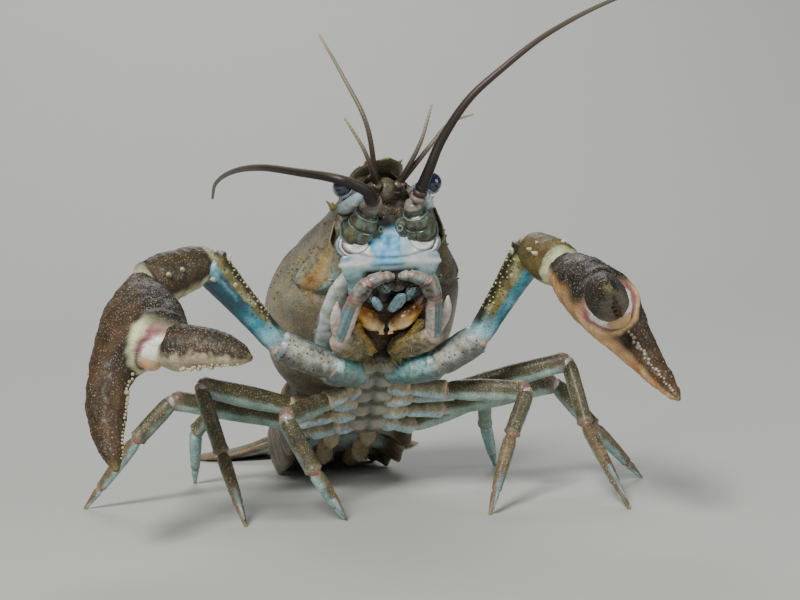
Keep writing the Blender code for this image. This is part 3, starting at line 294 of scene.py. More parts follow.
def dye(bm, verts, mark):
    """Gives points their tint, their graininess and their length along."""
    colour, grain, along = mark
    layers = bm.verts.layers
    for vert in verts:
        vert[layers.float_color["tint"]] = (*colour, 1)
        vert[layers.float["grain"]] = grain
        vert[layers.float["along"]] = along


def rolled(rows, around, place):
    """A closed skin: a flat grid is rolled up, and its seam and both ends are joined."""
    bm = new_form()
    bmesh.ops.create_grid(bm, x_segments=rows, y_segments=around, size=0.5)
    for vert in bm.verts:
        row = round((vert.co.x + 0.5) * rows)
        step = round((vert.co.y + 0.5) * around) % around
        vert.co, mark = place(row, 2 * pi * step / around)
        dye(bm, [vert], mark)
    bmesh.ops.remove_doubles(bm, verts=bm.verts, dist=1e-4)
    bmesh.ops.recalc_face_normals(bm, faces=bm.faces)
    return bm


class Sweep:
    """A smooth closed skin along stations: (share of the length, middle, half thickness, half depth)."""

    def __init__(self, stations, across, power=2.0, start=0.5, end=0.5, guide=None):
        self.middles = [(s, middle) for s, middle, _, _ in stations]
        # The sections stand square to the guide line, which is the middle line unless one is given
        self.guide = guide or self.middles
        self.thick = [(s, thick) for s, _, thick, _ in stations]
        self.deep = [(s, deep) for s, _, _, deep in stations]
        self.first, self.last = stations[0][0], stations[-1][0]
        self.across, self.power, self.caps = across, power, (start, end)

    def frame(self, share):
        """The middle, half thickness, half depth and the ways along, across and up at a share."""
        nudge = (self.last - self.first) * 0.02
        ahead = (reading(self.guide, min(share + nudge, self.last))
                 - reading(self.guide, max(share - nudge, self.first))).normalized()
        across = (self.across - ahead * self.across.dot(ahead)).normalized()
        return (reading(self.middles, share), reading(self.thick, share), reading(self.deep, share),
                ahead, across, ahead.cross(across))

    def surface(self, share, angle, ring=None):
        """A point of the skin and the way outwards there."""
        middle, thick, deep, _, across, up = ring or self.frame(share)
        arm = (across * (thick * rounded(cos(angle), self.power))
               + up * (deep * rounded(sin(angle), self.power)))
        return middle + arm, arm.normalized()

    def skin(self, rows, around, paint, relief=None):
        """The skin, painted and raised by functions of share, angle, point and outward way."""
        frames = []
        for row in range(rows + 1):
            share = min(max((row - CAP_ROWS) / (rows - 2 * CAP_ROWS), 0), 1)
            share = self.first + share * (self.last - self.first)
            turn = max(CAP_ROWS - row, row - (rows - CAP_ROWS), 0) / CAP_ROWS * pi / 2
            push = sin(turn) * (-self.caps[0] if row < CAP_ROWS else self.caps[1])
            frames.append((share, cos(turn), push, self.frame(share)))

        def place(row, angle):
            share, shrink, push, ring = frames[row]
            point, outward = self.surface(share, angle, ring)
            mark = paint(share, angle, point, outward)
            if relief:
                point = point + outward * relief(share, angle, point, outward)
            if row in (0, rows):
                shrink = 0
            return ring[0] + (point - ring[0]) * shrink + ring[3] * (push * min(ring[1], ring[2])), mark

        return rolled(rows, around, place)


def article(start, end, girths, across, power=2.0, caps=(0.5, 0.5)):
    """The sweep of one straight length of a limb."""
    return Sweep([(s, start.lerp(end, s), a, b) for s, a, b in girths], across, power, *caps)


def chain(points):
    """The share of the whole length at each of some points in a row, and that length."""
    lengths = [0.0]
    for before, after in zip(points, points[1:]):
        lengths.append(lengths[-1] + (after - before).length)
    return [length / lengths[-1] for length in lengths], lengths[-1]


def strung(points, halves, across=RIGHTWARDS, power=2.0, start=0.3, end=0.3):
    """The sweep through points in a row, with the half thickness and half depth at each."""
    return Sweep([(s, p, *half) for s, p, half in zip(chain(points)[0], points, halves)], across, power,
                 start, end)


def whip(points, girths):
    """A round sweep through points, its girth read from (share, girth) pairs, and its length."""
    shares, length = chain(points)
    return strung(points, [(reading(girths, s), reading(girths, s)) for s in shares]), length


def thorn(bm, root, tip, radius, mark, blunt=0.08, sides=10):
    """Adds a spine or tooth, a cone from its sunk root to its tip."""
    way = tip - root
    turn = way.to_track_quat("Z", "Y").to_matrix().to_4x4()
    made = bmesh.ops.create_cone(bm, cap_ends=True, segments=sides, radius1=radius, radius2=blunt,
                                 depth=way.length, matrix=Matrix.Translation((root + tip) / 2) @ turn)
    dye(bm, made["verts"], mark)


def bead(bm, middle, size, way, mark, sides=10):
    """Adds a small egg, for a tubercle or a soft joint; size is (across, across, along the way)."""
    turn = way.to_track_quat("Z", "Y").to_matrix().to_4x4()
    matrix = Matrix.Translation(middle) @ turn @ Matrix.Diagonal((*size, 1))
    made = bmesh.ops.create_uvsphere(bm, u_segments=sides, v_segments=max(sides // 2, 4), radius=1,
                                     matrix=matrix)
    dye(bm, made["verts"], mark)


def cut_at_floor(bm):
    """Cuts off what would reach the floor, and closes the cut."""
    everything = bm.verts[:] + bm.edges[:] + bm.faces[:]
    bmesh.ops.bisect_plane(bm, geom=everything, plane_co=(0, 0, FLOOR_GAP), plane_no=(0, 0, -1),
                           clear_outer=True)
    bmesh.ops.holes_fill(bm, edges=[edge for edge in bm.edges if edge.is_boundary], sides=0)


def facing(sweep, share, wish):
    """The angle round a sweep at which its skin most faces a wished way."""
    turns = [radians(step) for step in range(0, 360, 6)]
    return max(turns, key=lambda turn: sweep.surface(share, turn)[1].dot(wish))


def set_spines(bm, sweep, ahead, spines, radius, blunt, mark):
    """Sets spines on a limb's length, given as (share, the side they stand on, height, lean ahead)."""
    for share, wish, height, lean in spines:
        point, outward = sweep.surface(share, facing(sweep, share, wish))
        thorn(bm, point - outward * 0.7, point + outward * height + ahead * lean, radius, mark, blunt)


def finish(name, bm, material, nodes):
    """A finished piece: in metres, at the origin, riding on the model and standing for its nodes."""
    bmesh.ops.translate(bm, verts=bm.verts, vec=STANCE)
    bmesh.ops.scale(bm, verts=bm.verts, vec=(MM, MM, MM))
    mesh = bpy.data.meshes.new(name)
    bm.to_mesh(mesh)
    bm.free()
    mesh.shade_smooth()
    mesh.materials.append(material)
    made = bpy.data.objects.new(name, mesh)
    bpy.context.scene.collection.objects.link(made)
    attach(made, "root")
    if nodes:
        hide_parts(*nodes)


def node(tree, kind, settings, links):
    """Adds a node with its settings, and links its inputs from other nodes' outputs."""
    made = tree.nodes.new(f"ShaderNode{kind}")
    for key, value in settings.items():
        if isinstance(key, int) or key in made.inputs:
            made.inputs[key].default_value = value
        else:
            setattr(made, key, value)
    for key, source in links.items():
        tree.links.new(source, made.inputs[key])
    return made


def new_finish(name):
    """A new material, its tree and its Principled shader."""
    made = bpy.data.materials.new(name)
    made.use_nodes = True
    tree = made.node_tree
    return made, tree, tree.nodes["Principled BSDF"]


def chitin(name, speck, speck_mm, speck_size, speck_height, rough, coat=0.35, stain=0.5):
    """Crayfish shell: cloudily stained, with granules where the grain is up and pits where it is down."""
    made, tree, shader = new_finish(name)
    place = node(tree, "TexCoord", {}, {}).outputs["Object"]
    tint = node(tree, "Attribute", {"attribute_name": "tint"}, {}).outputs["Color"]
    grain = node(tree, "Attribute", {"attribute_name": "grain"}, {}).outputs["Fac"]
    product = {"operation": "MULTIPLY"}

    def noise_at(size, detail, low, high, least, most):
        """A noise with features of this many millimetres, stretched between two values."""
        raw = node(tree, "TexNoise", {"Scale": 1 / (size * MM), "Detail": detail, "Roughness": 0.62},
                   {"Vector": place}).outputs["Fac"]
        return node(tree, "MapRange", {"From Min": low, "From Max": high, "To Min": least, "To Max": most},
                    {"Value": raw}).outputs["Result"]

    def dots_at(spacing, size):
        """Round spots at random places, this many millimetres apart, 1 in their middles."""
        cells = node(tree, "TexVoronoi", {"Scale": 1 / (spacing * MM), "Randomness": 0.9},
                     {"Vector": place}).outputs["Distance"]
        return node(tree, "MapRange", {"From Min": size, "From Max": size * 0.4, "To Min": 0, "To Max": 1,
                                       "interpolation_type": "SMOOTHSTEP"},
                    {"Value": cells}).outputs["Result"]

    clouds = noise_at(2.6, 5, 0.3, 0.7, 1 - 0.55 * stain, 1 + 0.45 * stain)
    fine = noise_at(0.32, 3, 0.3, 0.7, 1 - 0.5 * stain, 1 + 0.45 * stain)
    stains = node(tree, "Math", product, {0: clouds, 1: fine}).outputs["Value"]
    shaded = node(tree, "VectorMath", {"operation": "SCALE"}, {"Vector": tint, "Scale": stains})
    # Granules stand up where the grain is above 0, in two sizes
    raised = node(tree, "Math", {"operation": "MAXIMUM", 1: 0.0}, {0: grain}).outputs["Value"]
    large = dots_at(speck_mm, speck_size)
    small = dots_at(speck_mm * 0.55, speck_size * 1.1)
    sparse = node(tree, "Math", product, {0: small, 1: noise_at(1.2, 2, 0.4, 0.6, 0.0, 0.6)})
    both = node(tree, "Math", {"operation": "MAXIMUM"}, {0: large, 1: sparse.outputs["Value"]})
    seen = node(tree, "Math", product, {0: both.outputs["Value"], 1: raised}).outputs["Value"]
    strength = node(tree, "Math", product, {0: seen, 1: noise_at(1.7, 3, 0.35, 0.6, 0.3, 1.0)})
    # Sockets 6 and 7 of a Mix node are its two colours, and its colour comes out of socket 2
    colour = node(tree, "Mix", {"data_type": "RGBA", 7: (*speck, 1)},
                  {0: strength.outputs["Value"], 6: shaded.outputs["Vector"]})
    # Pits sink where the grain is below 0, each with a dark floor
    sunk = node(tree, "Math", {"operation": "MINIMUM", 1: 0.0}, {0: grain}).outputs["Value"]
    pits = node(tree, "Math", product,
                {0: dots_at(speck_mm * 1.3, speck_size * 0.9), 1: sunk}).outputs["Value"]
    floor_of_pit = node(tree, "Math", {"operation": "MULTIPLY_ADD", 1: 0.85, 2: 1.0}, {0: pits})
    pitted = node(tree, "VectorMath", {"operation": "SCALE"},
                  {"Vector": colour.outputs[2], "Scale": floor_of_pit.outputs["Value"]})
    tree.links.new(pitted.outputs["Vector"], shader.inputs["Base Color"])
    skin_bump = node(tree, "Bump", {"Strength": 0.35, "Distance": 0.07 * MM}, {"Height": fine})
    height = node(tree, "Math", {"operation": "ADD"}, {0: seen, 1: pits})
    bump = node(tree, "Bump", {"Strength": 0.8, "Distance": speck_height * MM},
                {"Height": height.outputs["Value"], "Normal": skin_bump.outputs["Normal"]})
    tree.links.new(bump.outputs["Normal"], shader.inputs["Normal"])
    tree.links.new(noise_at(1.1, 3, 0.35, 0.65, rough - 0.08, rough + 0.16), shader.inputs["Roughness"])
    shader.inputs["IOR"].default_value = 1.5
    shader.inputs["Coat Weight"].default_value = coat
    shader.inputs["Coat Roughness"].default_value = 0.2
    return made


def membrane():
    """Soft joint skin: pale, moist and finely creased, with a little light passing in."""
    made, tree, shader = new_finish("arthrodial_membrane")
    place = node(tree, "TexCoord", {}, {}).outputs["Object"]
    tint = node(tree, "Attribute", {"attribute_name": "tint"}, {}).outputs["Color"]
    folds = node(tree, "TexNoise", {"Scale": 1 / (0.7 * MM), "Detail": 3, "Distortion": 1.5},
                 {"Vector": place}).outputs["Fac"]
    shade = node(tree, "MapRange", {"From Min": 0.3, "From Max": 0.7, "To Min": 0.82, "To Max": 1.1},
                 {"Value": folds}).outputs["Result"]
    soft = node(tree, "VectorMath", {"operation": "SCALE"}, {"Vector": tint, "Scale": shade})
    tree.links.new(soft.outputs["Vector"], shader.inputs["Base Color"])
    bump = node(tree, "Bump", {"Strength": 0.5, "Distance": 0.15 * MM}, {"Height": folds})
    tree.links.new(bump.outputs["Normal"], shader.inputs["Normal"])
    shader.inputs["Roughness"].default_value = 0.32
    shader.inputs["Subsurface Weight"].default_value = 0.25
    shader.inputs["Subsurface Radius"].default_value = (0.9 * MM, 0.5 * MM, 0.4 * MM)
    shader.inputs["Coat Weight"].default_value = 0.4
    return made


def cornea():
    """The compound eye: glass-clear cuticle over dark pigment, with facets just large enough to show."""
    made, tree, shader = new_finish("compound_eye_cornea")
    place = node(tree, "TexCoord", {}, {}).outputs["Object"]
    tint = node(tree, "Attribute", {"attribute_name": "tint"}, {}).outputs["Color"]
    tree.links.new(tint, shader.inputs["Base Color"])
    facets = node(tree, "TexVoronoi", {"Scale": 1 / (0.13 * MM), "Randomness": 0.1},
                  {"Vector": place}).outputs["Distance"]
    bump = node(tree, "Bump", {"Strength": 0.12, "Distance": 0.03 * MM, "invert": True},
                {"Height": facets})
    tree.links.new(bump.outputs["Normal"], shader.inputs["Normal"])
    shader.inputs["Roughness"].default_value = 0.12
    shader.inputs["Coat Weight"].default_value = 1.0
    shader.inputs["Coat Roughness"].default_value = 0.03
    return made


def feeler_chitin():
    """The whip of a feeler: short horny rings, each with a darker hind edge and a faint step."""
    made, tree, shader = new_finish("annulated_feeler_chitin")
    tint = node(tree, "Attribute", {"attribute_name": "tint"}, {}).outputs["Color"]
    along = node(tree, "Attribute", {"attribute_name": "along"}, {}).outputs["Fac"]
    # One ring is 0.6 mm long
    phase = node(tree, "Math", {"operation": "DIVIDE", 1: 0.6}, {0: along}).outputs["Value"]
    ring = node(tree, "Math", {"operation": "FRACT"}, {0: phase}).outputs["Value"]
    shade = node(tree, "MapRange", {"From Min": 0.55, "From Max": 1.0, "To Min": 1.15, "To Max": 0.6},
                 {"Value": ring}).outputs["Result"]
    banded = node(tree, "VectorMath", {"operation": "SCALE"}, {"Vector": tint, "Scale": shade})
    tree.links.new(banded.outputs["Vector"], shader.inputs["Base Color"])
    bump = node(tree, "Bump", {"Strength": 0.6, "Distance": 0.06 * MM}, {"Height": ring})
    tree.links.new(bump.outputs["Normal"], shader.inputs["Normal"])
    shader.inputs["Roughness"].default_value = 0.45
    return made


def bristle():
    """Stiff setae: thin horny hair, its tint varied in soft clouds."""
    made, tree, shader = new_finish("horny_setae")
    tint = node(tree, "Attribute", {"attribute_name": "tint"}, {}).outputs["Color"]
    place = node(tree, "TexCoord", {}, {}).outputs["Object"]
    clouds = node(tree, "TexNoise", {"Scale": 1 / (1.0 * MM)}, {"Vector": place}).outputs["Fac"]
    shade = node(tree, "MapRange", {"To Min": 0.6, "To Max": 1.4}, {"Value": clouds}).outputs["Result"]
    varied = node(tree, "VectorMath", {"operation": "SCALE"}, {"Vector": tint, "Scale": shade})
    tree.links.new(varied.outputs["Vector"], shader.inputs["Base Color"])
    shader.inputs["Roughness"].default_value = 0.5
    return made


# Rough armour of the claws: brown-black shell set closely with pale worn granules
CLAW_SHELL = chitin("granular_claw_chitin", hue("93876e"), 0.42, 0.4, 0.12, 0.55, 0.05, 0.6)
# The back shield: the same shell worn finer, its granules low and sandy, with pits on the flanks
BACK_SHELL = chitin("fine_grained_carapace_chitin", hue("b5a378"), 0.38, 0.36, 0.09, 0.5, 0.12, 0.65)
# Wet smooth shell of the arms, with dark pores that sink
ARM_SHELL = chitin("smooth_pored_chitin", hue("c9c08c"), 0.62, 0.32, 0.07, 0.36, 0.25, 0.7)
# Walking legs and tail: smooth shell with short golden scales of setae
LEG_SHELL = chitin("setose_leg_chitin", hue("aea37a"), 0.44, 0.36, 0.07, 0.46, 0.12, 0.75)
# Mouth parts and face plates: enamel-like thin shell, almost unmarked
FACE_SHELL = chitin("thin_pale_chitin", hue("9aa4a2"), 0.7, 0.2, 0.02, 0.3, 0.4, 0.3)
# Biting jaws: hard amber-coloured shell, polished by use
JAW_SHELL = chitin("calcified_jaw_chitin", hue("fff0c8"), 1.2, 0.12, 0.02, 0.24, 0.5, 0.4)
SOFT_SKIN = membrane()
EYE_GLASS = cornea()
FEELER_SHELL = feeler_chitin()
SETAE = bristle()


def shield_point(forward, angle, inward=0.0):
    """A point of the back shield's own surface."""
    groove = bell(GROOVE_FORWARD, 1.1, forward)
    sweep = bell(GROOVE_FORWARD, 9, forward)
    back_seam = bell(pi / 2, 0.035, angle) * ease(26, 22, forward) * 0.012
    shrink = 1 - GROOVE_DEPTH * groove - inward - back_seam
    up, out = sin(angle), cos(angle)
    widest = reading(WIDEST, forward)
    reach = reading(BACK_LINE if up > 0 else UNDER_LINE, forward) - widest
    power = reading(ROOF_POWER, forward) if up > 0 else 2.6
    side = reading(HALF_WIDTH, forward) * rounded(out, power) * shrink
    height = widest + abs(reach) * rounded(up, power) * shrink
    # The shield is a touch askew: its hind part lies to the right and its front to the left
    side = side * (1 - 0.03 * bell(14, 9, forward)) - 0.7 * bell(14, 9, forward) + 0.5 * ease(34, 46, forward)
    return body_point(forward + GROOVE_SWEEP * sweep * (1 - up) / 2, side, height)


def flank_degrees(angle):
    """Degrees below the widest line of the shield, on either side: -90 on the back, 90 underneath."""
    return degrees(asin(max(-1, min(1, -sin(angle)))))


def cheek_line(t):
    """Degrees below the widest line at which the cheek's middle line runs, at a share of its length."""
    return 33 - 17 * t


def cheek(forward, low):
    """How far inside the leaf-shaped cheek a place of the shield lies: 1 in the middle, 0 at its edge."""
    t = (forward - CHEEK_START) / CHEEK_LENGTH
    if not 0 < t < 1:
        return -1.0
    half = 25 * sin(pi * t ** 0.72) + 1
    return 1 - abs(low - cheek_line(t)) / half


def paint_shield(forward, angle, point):
    """Colours of the shield: dark olive back, mottled grey-brown flanks, golden streaks on the cheeks, and
    painted shade on the left flank and cheek.
    """
    low = flank_degrees(angle)
    flank = SHELL_GREY.lerp(SHELL_TAN, 0.2 + 0.6 * blotch(point, 2.6, -0.3, 0.4))
    flank = flank.lerp(FLANK_GREEN, 0.5 * blotch(point + Vector((7, 0, 3)), 2.0, -0.1, 0.4))
    flank = flank.lerp(CHEEK_RUST, 0.14 * blotch(point, 4) * ease(20, 45, low) * ease(28, 22, forward))
    back = SHELL_OLIVE.lerp(SHELL_DARK, blotch(point, 5, -0.3, 0.3))
    colour = back.lerp(flank, ease(-42, 0, low))
    colour = colour.lerp(SHELL_DARK, 0.6 * ease(34, 42, forward) * ease(20, -10, low))
    inside = cheek(forward, low)
    t = (forward - CHEEK_START) / CHEEK_LENGTH
    gold = CHEEK_SAND.lerp(SHELL_OLIVE, 0.7 * blotch(point, 0.8, -0.2, 0.3))
    across = low - cheek_line(t) - 2 + 3 * noise(point / 1.2)
    streak = bell(0, 6.5, across) * ease(0.05, 0.25, t) * ease(1.0, 0.75, t)
    gold = gold.lerp(CHEEK_GOLD, 0.9 * bell(0, 9, across) * ease(1.0, 0.7, t))
    gold = gold.lerp(CHEEK_RUST, 0.95 * streak * ease(0.75, 0.25, t))
    gold = gold.lerp(CREAM, 0.35 * bell(9, 6, across) * ease(0.2, 0.5, t))
    # The animal's left flank and cheek are painted darker here, as painted shade
    if cos(angle) > 0:
        gold = gold.lerp(SHELL_DARK, 0.75)
        colour = colour.lerp(SHELL_DARK, 0.65 * ease(15, 25, forward))
    colour = colour.lerp(gold, ease(-0.02, 0.12, inside))
    rim = bell(0.0, 0.09, inside) * ease(36, 30, forward) * ease(-8, 12, low)
    # The blue rim of the cheek is dimmed on the left side, as painted shade
    colour = colour.lerp(GROOVE_BLUE, rim * (0.35 if cos(angle) > 0 else 0.95))
    colour = colour.lerp(SHELL_DARK, 0.4 * bell(-0.16, 0.07, inside) * ease(35, 29, forward))
    colour = colour.lerp(SHELL_DARK, 0.45 * bell(GROOVE_FORWARD, 1.0, forward) * ease(10, -30, low))
    colour = colour.lerp(GROOVE_BLUE.lerp(COXA_TEAL, 0.35), 0.8 * bell(74, 7, low) * ease(4, 14, forward))
    colour = colour.lerp(SHELL_DARK, 0.5 * ease(82, 90, low))
    grain = 0.95 if low < 12 or inside > 0.15 else 0.95 - 1.75 * ease(12, 34, low)
    return colour, grain, 0


def shield_relief(forward, angle):
    """A raised lip round the cheek and along the front, in millimetres."""
    low = flank_degrees(angle)
    inside = cheek(forward, low)
    return 0.35 * bell(0.05, 0.1, inside) * ease(38, 32, forward) - 0.25 * bell(-0.12, 0.08, inside)


def make_carapace():
    """The back shield: its open underside and front are sunk inside a lip of shell."""
    rows, around = 150, 150

    def place(row, angle):
        forward = CARAPACE_FRONT * min(max((row - 1) / (rows - 2), 0), 1)
        if row in (0, rows):
            forward = 0 if row == 0 else CARAPACE_FRONT
            return body_point(forward, 0, reading(WIDEST, forward)), paint_shield(forward, angle, Vector())
        point = shield_point(forward, angle, 0.02 if row == 1 else 0)
        middle = body_point(forward, 0, reading(WIDEST, forward))
        outward = (point - middle).normalized()
        rough = 0.06 * noise(point / 0.9)
        mark = paint_shield(forward, angle, point)
        return point + outward * (shield_relief(forward, angle) + rough), mark

    bm = rolled(rows, around, place)
    # The deck under the shield is painted near white, as painted light on a face that lies in shade
    cuts = [(body_point(0, 0, DECK), body_way(0, 0, -1), 0.9, 0.25, BLUE_WHITE.lerp(SIGNAL_WHITE, 0.75))]
    for side in SIDES.values():
        spot, way = ORBIT
        spot, way = body_point(spot[0], side * spot[1], spot[2]), body_way(way[0], side * way[1], way[2])
        cuts.append((spot, way, 0.6, 0.3, SHELL_DARK))
    cuts.append((face_point(0, 0, 0), face_point(0, 0, 1) - face_point(0, 0, 0), 0.45, 0.9, SHELL_OLIVE))
    for spot, way, width, depth, rim in cuts:
        everything = bm.verts[:] + bm.edges[:] + bm.faces[:]
        bmesh.ops.bisect_plane(bm, geom=everything, plane_co=spot, plane_no=way, clear_outer=True)
        border = [edge for edge in bm.edges if edge.is_boundary]
        opening = bmesh.ops.holes_fill(bm, edges=border, sides=0)["faces"]
        dye(bm, {v for face in opening for v in face.verts}, (rim.lerp(SHELL_TAN, 0.6), 0, 0))
        bmesh.ops.inset_region(bm, faces=opening, thickness=width * 0.7, depth=0.0)
        dye(bm, {v for face in opening for v in face.verts}, (rim, 0, 0))
        bmesh.ops.inset_region(bm, faces=opening, thickness=width * 0.3, depth=-depth)
        for vert in {v for face in opening for v in face.verts}:
            dye(bm, [vert], (rim.lerp(SHELL_GREY, 0.1 + 0.3 * blotch(vert.co, 2)), 0, 0))
        bmesh.ops.triangulate(bm, faces=opening)
    bmesh.ops.recalc_face_normals(bm, faces=bm.faces)
    spine = (TIP_YELLOW.lerp(SHELL_DARK, 0.5), 0, 0)
    for side in SIDES.values():
        for forward, climb, height, lean, radius in SHELL_SPINES:
            angle = radians(climb if side > 0 else 180 - climb)
            point = shield_point(forward, angle)
            outward = (point - body_point(forward, 0, reading(WIDEST, forward))).normalized()
            tip = point + outward * height + body_way(lean, 0, 0)
            thorn(bm, point - outward * 0.6 - body_way(lean * 0.3, 0, 0), tip, radius, spine, 0.05)
        # Small blunt teeth down the side of the shield, where it is widest
        for number in range(34):
            forward = 39.5 - number * 0.62 + uniform(-0.2, 0.2)
            low = uniform(-14, 4)
            angle = radians(-low if side > 0 else 180 + low)
            point = shield_point(forward, angle)
            outward = (point - body_point(forward, 0, reading(WIDEST, forward))).normalized()
            size = uniform(0.1, 0.2)
            bead(bm, point + outward * 0.12, (size, size, size * 1.4), outward, spine, 6)
    finish("carapace_shield", bm, BACK_SHELL, ["carapace"])


def make_snout():
    """The snout: a dished spear with raised, beaded rims, side spines and a yellow tip."""
    rows, around = 60, 48

    def place(row, angle):
        share = min(max((row - 1) / (rows - 2), 0), 1)
        forward = SNOUT_ROOT + (SNOUT_TIP - SNOUT_ROOT) * share
        height = reading(SNOUT_LINE, max(forward, 40)) + (40 - min(forward, 40)) * 0.9
        up, out = sin(angle), cos(angle)
        dish = 0.2 + 0.8 * out * out if up > 0 else 1.0
        size = 0 if row in (0, rows) else 1
        point = body_point(forward, reading(SNOUT_HALF_WIDTH, forward) * out * size,
                           height + reading(SNOUT_THICKNESS, forward) * up * dish * size)
        colour = SHELL_OLIVE.lerp(SHELL_DARK, 0.3 + 0.5 * blotch(point, 2))
        colour = colour.lerp(TIP_YELLOW, ease(49.2, 50.8, forward))
        colour = colour.lerp(SHELL_GREY, 0.5 * ease(0.2, -0.4, up))
        return point, (colour, 0.4, 0)

    bm = rolled(rows, around, place)
    for side in SIDES.values():
        root, tip = [body_point(x, side * w, reading(SNOUT_LINE, x) + rise) for x, w, rise in SNOUT_SPINE]
        thorn(bm, root, tip, 0.7, (TIP_YELLOW.lerp(SHELL_OLIVE, 0.4), 0, 0), 0.05)
        for number in range(12):
            forward = 40.5 + number * 0.55
            wide = reading(SNOUT_HALF_WIDTH, forward)
            spot = body_point(forward, side * wide * 0.97, reading(SNOUT_LINE, forward) + 0.25)
            bead(bm, spot, (0.16, 0.16, 0.3), body_way(1, 0, 0), (SHELL_OLIVE, 0, 0), 6)
    finish("snout", bm, BACK_SHELL, ["carapace"])


def joint_ball(name, spot, size, way, colour):
    """The soft skin that shows between two lengths of a limb."""
    bm = new_form()
    bead(bm, spot, size, way, (colour, 0, 0), 24)
    finish(name, bm, SOFT_SKIN, [])


def paint_arm(top, belly, pale, dots, split=(-0.3, 0.35)):
    """The colours of an arm length: a top and a belly with pale ends, painted shade underneath, and how
    dotted it is.
    """
    dorsal = body_way(0.2, 0, 1).normalized()

    def paint(share, angle, point, outward):
        rise = outward.dot(dorsal) + 0.15 * noise(point / 1.5)
        colour = belly.lerp(top, ease(split[0], split[1], rise))
        colour = colour.lerp(pale, 0.85 * ease(0.1, 0.0, share) + 0.7 * ease(0.9, 1.0, share))
        colour = colour.lerp(CREAM, 0.3 * blotch(point, 1.6))
        colour = colour.lerp(SHELL_OLIVE, 0.45 * blotch(point + Vector((4, 1, 2)), 0.9, 0.0, 0.4))
        # Painted shade on the underside
        colour = colour.lerp(SHELL_DARK, 0.6 * ease(-0.6, -0.95, rise))
        return colour, -dots * ease(0.02, 0.15, share), 0

    return paint


def rim_relief(share, angle, point, outward):
    """A thickened lip at the far end of a limb's length, and a slight waist after its root."""
    return 0.28 * bell(0.955, 0.03, share) - 0.1 * bell(0.06, 0.04, share) + 0.05 * noise(point / 0.8)


def leg_relief(share, angle, point, outward):
    """A fine lip at the far end of a leg's length and an uneven skin."""
    return 0.14 * bell(0.96, 0.025, share) - 0.06 * bell(0.06, 0.04, share) + 0.05 * noise(point / 0.6)


def make_arm_root(key):
    """The teal coxa and the cream, blue-dotted ischium of a claw arm."""
    joints = [Vector(spot) for spot in ARMS[key]]
    across = body_way(0, 0, 1)
    node_name = f"cheliped_arm_{key}"
    coxa = article(joints[0], joints[1], ARM_COXA, across, 2.2)
    bm = coxa.skin(40, 40, paint_arm(COXA_TEAL, GROOVE_BLUE, BLUE_WHITE, 0.4), rim_relief)
    finish(f"claw_arm_coxa_{key}", bm, ARM_SHELL, [node_name])
    ischium = article(joints[1], joints[2], ARM_ISCHIUM, across, 2.2)
    paint = paint_arm(RIM_TEAL, BLUE_WHITE.lerp(CREAM, 0.45) * 0.85, BLUE_WHITE, 1.0, (-0.1, 0.75))
    bm = ischium.skin(50, 40, paint, rim_relief)
    finish(f"claw_arm_ischium_{key}", bm, ARM_SHELL, [node_name])
    for number in (1, 2):
        way = (joints[number + 1] - joints[number - 1]).normalized()
        joint_ball(f"claw_arm_joint_{number}_{key}", joints[number], (2.0, 2.0, 1.3), way,
                   JOINT_PINK.lerp(CREAM, 0.5))


